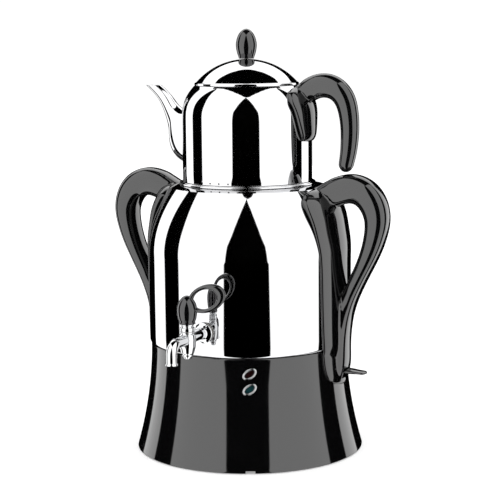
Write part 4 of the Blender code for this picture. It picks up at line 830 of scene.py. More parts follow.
@dataclass
class Base:
    """Base moulding with its feet, lamps, switch paddle and power inlet."""

    form: BodyForm
    wall: float = 0.0025
    deck: float = 0.003
    deck_opening: float = 0.076
    rim_round: float = 0.0006
    deck_round: float = 0.0009
    panel_angle: float = math.radians(25.5 - 90)
    notch_width: float = 0.0094
    notch_height: float = 0.0024
    foot_radius: float = 0.0075
    foot_circle: float = 0.098
    foot_stand: float = 0.003
    foot_stem: float = 0.0026
    foot_top: float = 0.004
    foot_round: float = 0.0004
    foot_sides: int = 48
    stem_rounds: tuple[float, float] = (0.0003, 0.0006)
    lamp_heights: tuple[float, float] = (0.0925, 0.0775)
    lamp_long: float = 0.0075
    lamp_short: float = 0.0047
    lamp_tilt: float = math.radians(33)
    lamp_rim: float = 0.0016
    lamp_barrel_inset: float = 0.0008
    lamp_proud: float = 0.0011
    lamp_depth: float = 0.0052
    lens_proud: float = 0.0006
    lamp_steps: int = 22
    lens_steps: int = 10
    switch_height: float = 0.083
    switch_reach: float = 0.0281
    switch_half_width: float = 0.0075
    switch_half_thickness: float = 0.0026
    switch_droop: float = 0.0009
    paddle_grid: tuple[int, int] = (48, 40)
    paddle_power: float = 2.4
    slot_width: float = 0.0166
    slot_height: float = 0.0104
    slot_drop: float = 0.0016
    slot_spare: float = 0.02
    inlet_height: float = 0.032
    inlet_width: float = 0.030
    inlet_tall: float = 0.024
    inlet_depth: float = 0.030
    inlet_proud: float = 0.0045
    inlet_wall: float = 0.003
    inlet_recess: float = 0.017
    inlet_ease: float = 0.0006
    inlet_power: float = 9.0
    pin_taper: float = 3.0
    pin_columns: int = 24
    outer_rows: int = 72
    inner_rows: int = 40
    shell_sides: int = 256
    foot_shares: tuple = (
        (0.00, 1.00, 0.0),
        (0.45, 1.00, 0.0002),
        (0.50, 0.85, 0.0002),
        (0.60, 0.85, 0.0002),
        (0.65, 1.00, 0.0002),
        (0.94, 1.00, 0.0007),
        (1.00, 0.55, 0.0005),
    )
    paddle_shares: tuple = (
        (0.00, 0.60, 0.70, 0.0),
        (0.24, 0.80, 0.95, 0.0),
        (0.50, 1.00, 1.00, 0.1),
        (0.72, 1.00, 0.86, 0.5),
        (0.88, 0.86, 0.66, 0.8),
        (0.97, 0.56, 0.42, 1.0),
        (1.00, 0.10, 0.10, 1.0),
    )

    def wall_place(self, angle: float, height: float, lean: float = 0.0) -> Matrix:
        """A place on the base's wall: X along the wall, Y up it and Z out of it.

        Args:
            angle: Direction from the axis.
            height: Height on the wall.
            lean: Turn about the way out.

        Returns:
            The place as a matrix.
        """
        out = Vector((math.cos(angle), math.sin(angle), 0))
        turn = Matrix((Vector((-out.y, out.x, 0)), Vector((0, 0, 1)), out)).transposed().to_4x4()
        spot = out * float(self.form.base(np.float64(height))) + Vector((0, 0, height))
        return Matrix.Translation(spot) @ turn @ Matrix.Rotation(lean, 4, "Z")

    def oval_grid(self, sections: Rows, place: Matrix, columns: int = 72) -> np.ndarray:
        """Grid of ovals: each section gives half length, half width and height above the wall.

        Args:
            sections: Rows of the three sizes.
            place: The oval's middle on the wall.
            columns: Points round each oval.

        Returns:
            The grid of points.
        """
        across, along = circle_shares(columns)
        rows = np.asarray(sections, float)
        flat = np.stack([rows[:, :1] * across, rows[:, 1:2] * along, rows[:, 2:3] + 0 * across], -1)
        return moved(flat, place)

    def build_shell(self, shop: Workshop) -> None:
        """Flared moulding under a flat deck, cut for lamps, switch, inlet and notch.

        Args:
            shop: The workshop that finishes the pieces.
        """
        form = self.form
        heights = np.linspace(-form.skirt_drop, form.base_height, self.outer_rows)
        outer = np.column_stack([form.base(heights), heights, 0 * heights])
        outer[0, 2] = self.rim_round
        outer[-1, 2] = self.deck_round
        under = form.base_height - self.deck
        heights = np.linspace(under, -form.skirt_drop, self.inner_rows)
        inner = np.column_stack([form.base(heights) - self.wall, heights, 0 * heights])
        deck = [(self.deck_opening, form.base_height, self.rim_round), (self.deck_opening, under, 0)]
        outline = rounded(np.vstack([outer, deck, inner]), closed=True)
        shell = turned("base_moulding", outline, self.shell_sides, closed=True)
        panel = np.array((math.cos(self.panel_angle), math.sin(self.panel_angle), 0))
        rim = float(form.base(np.float64(0)))
        tools = [
            box_tool(
                "rim_notch",
                (self.notch_width, 4 * self.wall, 2 * self.notch_height),
                Matrix.Translation(panel * rim - np.array((0, 0, form.skirt_drop)))
                @ Matrix.Rotation(self.panel_angle + math.pi / 2, 4, "Z"),
            )
        ]
        long = self.lamp_long - self.lamp_barrel_inset + form.clearance
        short = self.lamp_short - self.lamp_barrel_inset + form.clearance
        for height in self.lamp_heights:
            place = self.wall_place(self.panel_angle, height, self.lamp_tilt)
            grid = self.oval_grid([(long, short, -self.lamp_depth), (long, short, OVERRUN)], place)
            tools.append(sheet_piece("lamp_hole", grid, caps=True))
        tip = form.boiler_radius + self.switch_reach
        place = Matrix.Translation((tip, 0, self.switch_height - self.slot_drop))
        size = (2 * self.switch_reach + self.slot_spare, self.slot_width, self.slot_height)
        tools.append(box_tool("switch_slot", size, place))
        gap = 2 * form.clearance
        place = Matrix.Translation((0, self.inlet_face, self.inlet_height))
        size = (self.inlet_width + gap, self.inlet_depth, self.inlet_tall + gap)
        tools.append(box_tool("inlet_hole", size, place))
        reshaped(shell, Change.CUT, *tools)
        shop.deliver(shell, Slot.BLACK, BodyName.BASE, ["base_shell"])

    @property
    def inlet_face(self) -> float:
        """How far back the inlet's face stands."""
        return float(self.form.base(np.float64(self.inlet_height))) + self.inlet_proud

    def build_feet(self, shop: Workshop) -> None:
        """Four rubber feet with a groove round the tread and a stem through the plate.

        Args:
            shop: The workshop that finishes the pieces.
        """
        edge, stand, top = self.foot_radius, self.foot_stand, -self.form.clearance
        corners = [(edge * out, -stand * down, fillet) for out, down, fillet in self.foot_shares]
        corners += [
            (edge, top, self.foot_round),
            (self.foot_stem, top, self.stem_rounds[0]),
            (self.foot_stem, self.foot_top, self.stem_rounds[1]),
            (0, self.foot_top, 0),
        ]
        grid = spun(rounded(corners), self.foot_sides)
        for index in range(4):
            turn = index * math.pi / 2
            middle = (self.foot_circle * math.cos(turn), self.foot_circle * math.sin(turn), 0)
            spot = Matrix.Translation(middle)
            foot = sheet_piece(f"rubber_foot_{index + 1}", moved(grid, spot))
            shop.deliver(foot, Slot.RUBBER, BodyName.BASE, [f"foot_{index + 1}"])

    def build_lamps(self, shop: Workshop) -> None:
        """Chrome oval rims, rounded in front, and the lenses that sit in them.

        Args:
            shop: The workshop that finishes the pieces.
        """
        long, short = self.lamp_long, self.lamp_short
        hole_long, hole_short = long - self.lamp_rim, short - self.lamp_rim
        barrel_long, barrel_short = long - self.lamp_barrel_inset, short - self.lamp_barrel_inset
        clear = self.form.clearance
        seat = 2 * clear
        turns = np.linspace(0, math.pi, self.lamp_steps)
        half = self.lamp_rim / 2
        flat, rise = half * np.cos(turns), (self.lamp_proud - seat) * np.sin(turns)
        crown = np.column_stack([long - half + flat, short - half + flat, seat + rise])
        back = [(hole_long, hole_short, -self.lamp_depth), (barrel_long, barrel_short, -self.lamp_depth)]
        sections = np.vstack([back, [(barrel_long, barrel_short, seat)], crown])
        lens_long, lens_short = hole_long - clear, hole_short - clear
        turns = np.linspace(math.pi / 2, 0, self.lens_steps)
        dome = np.column_stack(
            [lens_long * np.sin(turns), lens_short * np.sin(turns), self.lens_proud * np.cos(turns)]
        )
        foot = [(0, 0, -self.lamp_depth), (lens_long, lens_short, -self.lamp_depth)]
        lamps = zip(("upper", "lower"), self.lamp_heights, (Slot.RED_LENS, Slot.GREEN_LENS))
        for name, height, slot in lamps:
            place = self.wall_place(self.panel_angle, height, self.lamp_tilt)
            rim = sheet_piece(f"lamp_bezel_{name}", self.oval_grid(sections, place), wrap_rows=True)
            shop.deliver(rim, Slot.CHROME, BodyName.BASE, [f"lamp_rim_{name}"])
            lens = sheet_piece(f"lamp_window_{name}", self.oval_grid(np.vstack([foot, dome]), place))
            shop.deliver(lens, slot, BodyName.BASE, [f"lamp_lens_{name}"])

    def build_paddle(self, shop: Workshop) -> None:
        """Switch paddle: squared ovals along its length, thinning to a drooping tip.

        Args:
            shop: The workshop that finishes the pieces.
        """
        low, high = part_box("switch_paddle")
        rows, columns = self.paddle_grid
        run, wide, thick, droop = flowing(self.paddle_shares, rows, spread=1).T[..., None]
        across, along = circle_shares(columns, self.paddle_power)
        x = low.x + (high.x - low.x) * run + 0 * across
        y = self.switch_half_width * wide * across
        z = self.switch_height + self.switch_half_thickness * thick * along - self.switch_droop * droop
        paddle = sheet_piece("rocker_paddle", np.stack([x, y, z], -1), caps=True)
        pin_low, pin_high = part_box("switch_pin")
        middle = (pin_low + pin_high) / 2
        place = Matrix.Translation(middle) @ facing((0, 1, 0))
        radius = (pin_high.x - pin_low.x) / 2 + self.form.clearance
        reach = self.switch_half_width + OVERRUN
        reshaped(paddle, Change.CUT, rod_tool("pin_hole", radius, -reach, reach, place))
        shop.deliver(paddle, Slot.BLACK, BodyName.SWITCH, ["switch_paddle"])

    def rectangle_loops(self, sections: Rows, columns: int = 48) -> np.ndarray:
        """Grid of squared ovals: each section gives half width, half height and place along Y."""
        across, along = circle_shares(columns, self.inlet_power)
        rows = np.asarray(sections, float)
        return np.stack([rows[:, :1] * across, rows[:, 2:3] + 0 * across, rows[:, 1:2] * along], -1)

    def build_inlet(self, shop: Workshop) -> None:
        """Power inlet: a squared shell with a recess, and three flat pins with eased tips.

        Args:
            shop: The workshop that finishes the pieces.
        """
        half_wide, half_tall = self.inlet_width / 2, self.inlet_tall / 2
        face, ease = self.inlet_face, self.inlet_ease
        back = face - self.inlet_depth
        hollow_wide, hollow_tall = half_wide - self.inlet_wall, half_tall - self.inlet_wall
        sections = [
            (0, 0, back),
            (half_wide - ease, half_tall - ease, back),
            (half_wide, half_tall, back + ease),
            (half_wide, half_tall, face - ease),
            (half_wide - ease, half_tall - ease, face),
            (hollow_wide + ease, hollow_tall + ease, face),
            (hollow_wide, hollow_tall, face - ease),
            (hollow_wide, hollow_tall, face - self.inlet_recess),
            (0, 0, face - self.inlet_recess),
        ]
        place = Matrix.Translation((0, 0, self.inlet_height))
        socket = sheet_piece("power_inlet", moved(self.rectangle_loops(sections), place))
        shop.deliver(socket, Slot.DULL, BodyName.BASE, ["inlet_socket"])
        for name in ("line", "neutral", "earth"):
            low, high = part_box(f"inlet_pin_{name}")
            middle = (low + high) / 2
            wide, tall = (high.x - low.x) / 2, (high.z - low.z) / 2
            ease = wide / self.pin_taper
            pin_sections = [
                (0, 0, low.y),
                (wide, tall, low.y),
                (wide, tall, high.y - 2 * ease),
                (wide - ease, tall - ease, high.y),
                (0, 0, high.y),
            ]
            spot = Matrix.Translation((middle.x, 0, middle.z))
            grid = moved(self.rectangle_loops(pin_sections, self.pin_columns), spot)
            pin = sheet_piece(f"contact_pin_{name}", grid)
            shop.deliver(pin, Slot.BRASS, BodyName.BASE, [f"inlet_pin_{name}"])

    def build(self, shop: Workshop) -> None:
        """Builds every piece of the base.

        Args:
            shop: The workshop that finishes the pieces.
        """
        self.build_shell(shop)
        self.build_feet(shop)
        self.build_lamps(shop)
        self.build_paddle(shop)
        self.build_inlet(shop)


@dataclass
class Boiler:
    """Drawn steel boiler and the ring that carries the teapot."""

    form: BodyForm
    sheet: float = 0.001
    corner: float = 0.003
    mouth: float = 0.060
    skirt_depth: float = 0.0053
    skirt_wall: float = 0.0012
    bead_round: float = 0.00095
    step_inset: float = 0.0018
    lip_height: float = 0.0042
    lip_wall: float = 0.0014
    pot_inner: float = 0.0645
    tap_hole_radius: float = 0.0058
    tap_hole_depth: float = 0.006
    land_round: float = 0.0004
    skirt_round: float = 0.0003
    step_rounds: tuple[float, float, float] = (0.0001, 0.0002, 0.0003)
    lip_round: float = 0.0005
    throat_round: float = 0.001
    shoulder_rows: int = 90
    wall_rows: int = 12
    corner_steps: tuple[int, int] = (10, 8)
    vessel_sides: int = 288
    ring_sides: int = 192

    def build(self, shop: Workshop) -> None:
        """Builds the vessel and the seat ring."""
        self.build_vessel(shop)
        self.build_seat(shop)

    def build_vessel(self, shop: Workshop) -> None:
        """Drawn vessel: floor, wall and domed shoulder of one sheet, with the tap's hole in front.

        Args:
            shop: The workshop that finishes the pieces.
        """
        form = self.form
        heights = np.linspace(form.shoulder_start, form.shoulder_top, self.shoulder_rows)
        radii = form.boiler(heights)
        shoulder = np.column_stack([radii, heights, 0 * heights])
        wall = np.linspace(form.floor + self.corner, form.shoulder_start, self.wall_rows)[1:-1]
        straight = np.column_stack([0 * wall + form.boiler_radius, wall, 0 * wall])
        inner = inward(radii, heights, self.sheet)
        outer = [(0, form.floor, 0), (form.boiler_radius, form.floor, self.corner)]
        land = [
            (form.bead_radius, form.land, self.land_round),
            (self.mouth, form.land, 0),
            (self.mouth, form.land - self.sheet, 0),
            (form.bead_radius, form.land - self.sheet, 0),
        ]
        inside = [
            (form.boiler_radius - self.sheet, form.floor + self.sheet, self.corner - self.sheet),
            (0, form.floor + self.sheet, 0),
        ]
        rows = np.vstack([outer, straight, shoulder, land, inner[::-1], inside])
        vessel = turned("boiler_vessel", rounded(rows, steps=self.corner_steps[0]), self.vessel_sides)
        low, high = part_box("tap_gasket_inner")
        spot = Matrix.Translation((0, 0, (low.z + high.z) / 2)) @ facing((0, -1, 0))
        start, end = form.boiler_radius - self.tap_hole_depth, form.boiler_radius + OVERRUN
        reshaped(vessel, Change.CUT, rod_tool("tap_hole", self.tap_hole_radius, start, end, spot))
        shop.deliver(vessel, Slot.STEEL, BodyName.BASE, ["boiler", "boiler_floor"])

    def build_seat(self, shop: Workshop) -> None:
        """Seat ring: a skirt in the mouth, a bead on the land, a step and a lip inside the teapot.

        Args:
            shop: The workshop that finishes the pieces.
        """
        form = self.form
        bead = form.bead_radius
        bead_top = form.seat_base + form.bead_height
        step = bead - self.step_inset
        lip = self.pot_inner - 4 * form.clearance
        skirt = self.mouth - form.clearance
        ring = [
            (skirt - self.skirt_wall, form.seat_base - self.skirt_depth, self.skirt_round),
            (skirt, form.seat_base - self.skirt_depth, self.skirt_round),
            (skirt, form.seat_base, 0),
            (bead, form.seat_base, self.bead_round),
            (bead, bead_top, self.bead_round),
            (step, bead_top, self.step_rounds[0]),
            (step, form.seat_top, self.step_rounds[1]),
            (lip, form.seat_top, self.step_rounds[2]),
            (lip, form.seat_top + self.lip_height, self.lip_round),
            (lip - self.lip_wall, form.seat_top + self.lip_height, self.lip_round),
            (skirt - self.skirt_wall, form.seat_top - self.lip_wall, self.throat_round),
        ]
        outline = rounded(ring, closed=True, steps=self.corner_steps[1])
        seat = turned("teapot_seat_ring", outline, self.ring_sides, closed=True)
        shop.deliver(seat, Slot.STEEL, BodyName.BASE, ["seat_ring"])


@dataclass(frozen=True)
class PadForm:
    """A pad that hugs a round wall; its shares run from its foot upwards."""

    shares: tuple
    foot: float
    rise: float
    half_angle: float
    crown: float
    edge: float
    edge_round: float = 0.0022
    rows: int = 110
    front_columns: int = 49
    back_columns: int = 15
    least_edge: float = 0.02
    least_angle: float = 0.01
    roll_limits: tuple[float, float] = (0.01, 0.95)

    def grid(self, wall: Wall, clearance: float) -> np.ndarray:
        """Closed sections: a crowned front whose edges roll down to the wall, and a back along the wall.

        The front stands off by edge + (crown - edge) (1 - s squared), where s runs from -1 to 1 across,
        and its last stretch falls as a quarter of an ellipse.

        Args:
            wall: Radius of the wall at a height.
            clearance: Gap between the back and the wall.

        Returns:
            The grid of points.
        """
        up, angle, crown, edge = flowing(self.shares, self.rows).T[..., None]
        height = self.foot + up * self.rise
        radius = wall(height)
        across = np.sin(np.linspace(-math.pi / 2, math.pi / 2, self.front_columns))
        low = self.edge * np.maximum(edge, self.least_edge)
        high = np.maximum(self.crown * crown, low)
        stand = low + (high - low) * (1 - across**2)
        half = self.half_angle * np.maximum(angle, self.least_angle)
        roll = np.clip(self.edge_round / (half * radius), *self.roll_limits)
        past = np.clip((np.abs(across) - (1 - roll)) / roll, 0, 1)
        stand = stand * np.sqrt(np.maximum(1 - past**2, 0))
        back = np.linspace(1, -1, self.back_columns + 2)[1:-1]
        turn = np.hstack([across * half, back * half])
        reach = radius + clearance + np.hstack([stand, np.zeros((self.rows, self.back_columns))])
        return np.stack([reach * np.cos(turn), reach * np.sin(turn), height + 0 * turn], -1)


@dataclass(frozen=True)
class BarForm:
    """A handle's bar along a centre line; its shares give out, up, depth and width."""

    shares: tuple
    wall: float
    reach: float
    foot: float
    rise: float
    depth: float
    width: float
    tip: float = 0.0
    power: float = 2.25
    rows: int = 150
    columns: int = 56
    least_tip: float = 1e-5

    def centres(self) -> np.ndarray:
        """Centre line and half sizes: X, Z, half depth and half width.

        Returns:
            Evenly spaced rows.
        """
        rows = np.asarray(self.shares, float)
        real = np.column_stack(
            [
                self.wall + rows[:, 0] * self.reach,
                self.foot + rows[:, 1] * self.rise,
                rows[:, 2] * self.depth / 2,
                rows[:, 3] * self.width / 2,
            ]
        )
        return flowing(real, self.rows)

    def grid(self) -> np.ndarray:
        """Squared ovals along the centre line; a tip length rounds the far end off.

        Returns:
            The grid of points.
        """
        x, z, depth, width = self.centres().T
        if self.tip:
            run = np.concatenate([[0], np.cumsum(np.hypot(np.diff(x), np.diff(z)))])
            past = np.clip((run - (run[-1] - self.tip)) / self.tip, 0, 1)
            shrink = np.sqrt(np.maximum(1 - past**2, self.least_tip))
            depth, width = depth * shrink, width * shrink
        path = np.column_stack([x, 0 * x, z])
        across, along = circle_shares(self.columns, self.power)
        return swept(path, width[:, None] * across, depth[:, None] * along, (0, 1, 0))

    def nearness(self, points: np.ndarray, reach: float) -> np.ndarray:
        """How close points lie to the bar's skin: 1 on it, fading with the square of gap over reach.

        Every third section is looked at, which is near enough for a weight.

        Args:
            points: The points, a row each.
            reach: The gap at which the weight has fallen to 1/e.

        Returns:
            A weight for each point.
        """
        x, z, depth, width = self.centres()[::3].T
        away = (points[:, :1] - x) ** 2 + (points[:, 2:3] - z) ** 2
        nearest = away.argmin(axis=1)
        out = np.sqrt(away.min(axis=1)) / depth[nearest]
        side = np.abs(points[:, 1]) / width[nearest]
        level = (out**self.power + side**self.power) ** (1 / self.power)
        gap = (level - 1) * np.minimum(depth, width)[nearest]
        return np.exp(-((gap / reach) ** 2))


def soften_seam(
    piece: bpy.types.Object,
    points: np.ndarray,
    wall: Wall,
    bar: BarForm,
    pad: PadForm,
    seam: float,
    rounds: int,
) -> None:
    """Rounds the crease where a bar grows out of its pad.

    A point's weight is its nearness to the bar, times the same kind of fall with its height above the
    pad's crown, and 0 on the pad's back.

    Args:
        piece: Bar and pad, already joined.
        points: The piece's points, with the wall's axis as Z.
        wall: Radius of the wall at a height.
        bar: The bar's form.
        pad: The pad's form.
        seam: How far from bar and crown the weight reaches.
        rounds: How often the points move.
    """
    out = np.hypot(points[:, 0], points[:, 1]) - wall(points[:, 2])
    on_front = out > 2 * BodyForm.clearance
    on_pad = np.exp(-(np.maximum(out - pad.crown, 0) / seam) ** 2) * on_front
    relax(piece, bar.nearness(points, seam) * on_pad, rounds)


# Bars: out, up, depth and width, each as a share. Pads: up, half angle, crown and edge, from the foot.
GRIP_SHARES = (
    (-0.656, 0.916, 0.903, 1.000),
    (-0.296, 0.959, 0.955, 0.983),
    (0.039, 0.987, 0.990, 0.950),
    (0.347, 0.995, 1.000, 0.933),
    (0.656, 0.974, 0.972, 0.933),
    (0.895, 0.919, 0.913, 0.933),
    (0.995, 0.846, 0.819, 0.917),
    (0.959, 0.775, 0.729, 0.900),
    (0.851, 0.699, 0.646, 0.883),
    (0.643, 0.603, 0.556, 0.867),
    (0.373, 0.496, 0.531, 0.867),
    (0.167, 0.395, 0.528, 0.900),
    (0.054, 0.289, 0.535, 0.950),
    (0.013, 0.177, 0.542, 1.000),
    (-0.013, 0.071, 0.521, 1.000),
    (-0.023, 0.018, 0.310, 0.730),
)
PAD_SHARES = (
    (0.002, 0.06, 0.16, 0.12),
    (0.010, 0.24, 0.32, 0.23),
    (0.025, 0.41, 0.41, 0.25),
    (0.051, 0.54, 0.47, 0.28),
    (0.101, 0.64, 0.50, 0.28),
    (0.192, 0.69, 0.50, 0.28),
    (0.344, 0.73, 0.50, 0.28),
    (0.496, 0.75, 0.50, 0.28),
    (0.648, 0.78, 0.50, 0.30),
    (0.724, 0.83, 0.545, 0.38),
    (0.800, 0.89, 0.64, 0.57),
    (0.851, 0.94, 0.80, 0.81),
    (0.896, 0.985, 0.91, 0.94),
    (0.932, 1.00, 0.97, 0.97),
    (0.957, 0.94, 0.90, 0.88),
    (0.977, 0.78, 0.72, 0.70),
    (0.990, 0.50, 0.48, 0.46),
    (0.998, 0.14, 0.16, 0.16),
)
HOOK_SHARES = (
    (-0.164, 0.846, 0.93, 1.00),
    (-0.011, 0.928, 0.97, 1.00),
    (0.208, 1.001, 1.00, 1.00),
    (0.492, 1.018, 1.00, 0.99),
    (0.711, 0.966, 0.95, 0.97),
    (0.875, 0.857, 0.89, 0.94),
    (0.963, 0.703, 0.83, 0.91),
    (1.000, 0.510, 0.77, 0.88),
    (0.991, 0.318, 0.72, 0.84),
    (0.956, 0.151, 0.66, 0.78),
    (0.912, 0.024, 0.60, 0.72),
    (0.888, -0.064, 0.54, 0.66),
)
HOOK_PAD_SHARES = (
    (0.312, 0.10, 0.20, 0.20),
    (0.320, 0.34, 0.45, 0.40),
    (0.338, 0.47, 0.72, 0.62),
    (0.375, 0.53, 0.90, 0.85),
    (0.450, 0.62, 1.00, 1.00),
    (0.600, 0.78, 1.00, 1.00),
    (0.750, 0.94, 1.00, 1.00),
    (0.830, 1.00, 1.00, 1.00),
    (0.900, 0.96, 1.00, 0.95),
    (0.955, 0.78, 0.95, 0.80),
    (0.985, 0.48, 0.75, 0.55),
    (0.994, 0.12, 0.55, 0.40),
)


@dataclass
class LoopHandles:
    """The boiler's two handles: a pad along boiler and base, and a grip that loops away from it."""

    form: BodyForm
    foot: float = 0.069
    above_shoulder: float = 0.0015
    reach: float = 0.03884
    depth: float = 0.0288
    width: float = 0.030
    half_angle: float = math.radians(27)
    crown: float = 0.011
    edge: float = 0.0053
    power: float = 2.9
    seam: float = 0.0016
    seam_rounds: int = 14
    slot_width: float = 0.0166
    slot_height: float = 0.0104
    slot_level: float = 0.0814

    def build(self, shop: Workshop) -> None:
        """Builds the right-hand handle, and the left-hand one as the same form turned half round.

        Args:
            shop: The workshop that finishes the pieces.
        """
        form = self.form
        rise = form.shoulder_top + self.above_shoulder - self.foot
        pad = PadForm(PAD_SHARES, self.foot, rise, self.half_angle, self.crown, self.edge)
        sizes = (form.boiler_radius, self.reach, self.foot, rise, self.depth, self.width)
        bar = BarForm(GRIP_SHARES, *sizes, power=self.power)
        for name, turn in (("right", 0.0), ("left", math.pi)):
            handle = sheet_piece(f"loop_handle_{name}", pad.grid(form.wall, form.clearance), caps=True)
            grip = sheet_piece("grip", bar.grid(), caps=True)
            reshaped(grip, Change.CUT, form.envelope("wall"))
            reshaped(handle, Change.JOIN, grip)
            points = mesh_points(handle)
            soften_seam(handle, points, form.wall, bar, pad, self.seam, self.seam_rounds)
            if name == "right":
                place = Matrix.Translation((form.boiler_radius, 0, self.slot_level))
                size = (4 * self.crown, self.slot_width, self.slot_height)
                reshaped(handle, Change.CUT, box_tool("paddle_slot", size, place))
            handle.data.transform(Matrix.Rotation(turn, 4, "Z"))
            shop.deliver(handle, Slot.BLACK, BodyName.BASE, [f"handle_{name}"])


@dataclass
class Tap:
    """Chrome tap with its gaskets, gland, plug and key.

    The rows are outlines: a share of a radius, a share of a height, and the corner's fillet in metres.
    """

    form: BodyForm
    above_base: float = 0.025
    standoff: float = 0.0341
    flange_radius: float = 0.0101
    flange_thickness: float = 0.0028
    gasket_thickness: float = 0.0012
    shank_radius: float = 0.0055
    shank_inside: float = 0.011
    barrel_radius: float = 0.0073
    barrel_top: float = 0.0078
    barrel_drop: float = 0.0115
    cap_radius: float = 0.0053
    cap_drop: float = 0.019
    gland_height: float = 0.0068
    bore_radius: float = 0.0030
    plug_radius: float = 0.0043
    plug_drop: float = 0.010
    plug_rise: float = 0.022
    nozzle_reach: float = 0.0321
    nozzle_radius: float = 0.0053
    nozzle_lip: float = 0.0061
    lip_height: float = 0.0012
    nozzle_drop: float = 0.0184
    nozzle_bore: float = 0.0036
    elbow_radius: float = 0.009
    key_radius: float = 0.00965
    key_height: float = 0.027
    ring_length: float = 0.038
    ring_height: float = 0.0262
    ring_reach: float = 0.0195
    ring_rise: float = 0.0246
    near_band: float = 0.0050
    far_band: float = 0.0086
    side_band: float = 0.0042
    ring_thickness: float = 0.0062
    ring_tilt: float = math.radians(22)
    ring_power: float = 2.7
    ring_grid: tuple[int, int] = (144, 40)
    rest_angle: float = math.radians(11.5)
    shank_spare: float = 0.001
    shank_rounds: tuple[float, float] = (0.0005, 0.0002)
    lip_fade: float = 1.6
    elbow_steps: tuple[int, int, int] = (6, 24, 10)
    casting_crease: float = 28
    barrel_sides: int = 80
    bore_sides: int = 48
    water_sides: int = 40
    nut_sides: int = 72
    washer_sides: int = 64
    washer_share: float = 0.94
    washer_round: float = 0.0003
    gland_bore_round: float = 0.0002
    key_rows: int = 72
    key_sides: int = 96
    plug_sides: int = 56
    plug_ease: float = 0.0006
    cap_rows: tuple = ((0, 0, 0), (0.62, 0, 0.0016), (1, 0.62, 0.0018))
    neck_rows: tuple = ((1, 0.55, 0.0006), (1.18, 0.30, 0.0004))
    lower_rows: tuple = ((0.92, 1, 0.0009), (1.08, 0.62, 0.003), (1.12, 0, 0.006))
    upper_rows: tuple = (
        (1.03, 0.62, 0.002),
        (0.86, 0.78, 0.0004),
        (0.95, 0.86, 0.0004),
        (0.95, 1, 0.0004),
        (0, 1, 0),
    )
    flange_rows: tuple = ((1, 0, 0.0003), (1, 0.45, 0.0008), (0.78, 1, 0.002))
    root_rows: tuple = ((1.05, 0.25, 0.0012), (1, 1.4, 0.002))
    gland_rows: tuple = (
        (0.95, 0, 0.0004),
        (0.95, 0.50, 0.0006),
        (0.80, 0.60, 0.0004),
        (0.80, 0.72, 0.0004),
        (0.88, 0.82, 0.0004),
        (0.88, 1, 0.0005),
    )
    key_shares: tuple = (
        (0.83, 0.00),
        (0.79, 0.05),
        (0.86, 0.13),
        (0.95, 0.27),
        (1.00, 0.44),
        (0.96, 0.61),
        (0.79, 0.78),
        (0.52, 0.91),
        (0.27, 0.975),
        (0.00, 1.00),
    )
    axis: Matrix = field(init=False)
    outwards: Matrix = field(init=False)

    def __post_init__(self) -> None:
        """Works out the places that all pieces share."""
        spot = (0, -self.form.boiler_radius - self.standoff, self.form.base_height + self.above_base)
        self.axis = Matrix.Translation(spot)
        self.outwards = self.axis @ facing((0, -1, 0))

    def elbow_path(self, start: float, end: float) -> np.ndarray:
        """Straight out of the barrel, a quarter turn down, and straight to the outlet.

        Args:
            start: Distance along Y at the start.
            end: Height of the outlet.

        Returns:
            Points of the path.
        """
        level, bend, fall = self.elbow_steps
        turn = np.linspace(0, math.pi / 2, bend)
        bend_y = -self.nozzle_reach + self.elbow_radius * (1 - np.sin(turn))
        bend_z = -self.elbow_radius * (1 - np.cos(turn))
        first = np.column_stack([np.linspace(start, bend_y[0], level), np.zeros(level)])[:-1]
        last = np.column_stack([np.full(fall, -self.nozzle_reach), np.linspace(bend_z[-1], end, fall)])[1:]
        flat = np.vstack([first, np.column_stack([bend_y, bend_z]), last])
        return np.column_stack([np.zeros(len(flat)), flat])

    def pipe(self, name: str, path: np.ndarray, radii: np.ndarray, sides: int = 56) -> bpy.types.Object:
        """A round pipe along a path in the plane X = 0."""
        across, along = circle_shares(sides)
        grid = swept(path, radii[:, None] * across, radii[:, None] * along, (1, 0, 0))
        return sheet_piece(name, moved(grid, self.axis), caps=True)

    def build_body(self, shop: Workshop) -> None:
        """Barrel, flanged shank and elbow in one casting, with the ways for plug and water.

        Args:
            shop: The workshop that finishes the pieces.
        """
        drop, top, wide, cap = self.barrel_drop, self.barrel_top, self.barrel_radius, self.cap_radius
        barrel = [(cap * out, -self.cap_drop + cap * up, fillet) for out, up, fillet in self.cap_rows]
        barrel += [(cap * out, -drop - cap * down, fillet) for out, down, fillet in self.neck_rows]
        barrel += [(wide * out, -drop * down, fillet) for out, down, fillet in self.lower_rows]
        barrel += [(wide * out, top * up, fillet) for out, up, fillet in self.upper_rows]
        body = sheet_piece("tap_casting", moved(spun(rounded(barrel), self.barrel_sides), self.axis))
        wall, thick = -self.standoff, self.flange_thickness
        back = wall + 2 * self.form.clearance + self.gasket_thickness
        front = back + thick
        end = wall - self.shank_spare - self.shank_inside
        flange, shank = self.flange_radius, self.shank_radius
        outline = [(0, end, 0), (shank, end, self.shank_rounds[0]), (shank, back, self.shank_rounds[1])]
        outline += [(flange * out, back + thick * along, fillet) for out, along, fillet in self.flange_rows]
        outline += [(shank * out, front + thick * along, fillet) for out, along, fillet in self.root_rows]
        outline += [(shank, -wide / 2, 0), (0, -wide / 2, 0)]
        pipe = sheet_piece("shank", moved(spun(rounded(outline), self.nut_sides), self.outwards))
        path = self.elbow_path(-wide / 2, -self.nozzle_drop)
        past = (path[:, 2] + self.nozzle_drop) / self.lip_height
        lip = np.clip(self.lip_fade - past, 0, 1)
        radii = self.nozzle_radius + (self.nozzle_lip - self.nozzle_radius) * lip
        reshaped(body, Change.JOIN, pipe, self.pipe("elbow", path, radii))
        bore = self.plug_radius + self.form.clearance
        low = -self.plug_drop - self.form.clearance
        way = self.elbow_path(0, -self.nozzle_drop - OVERRUN)
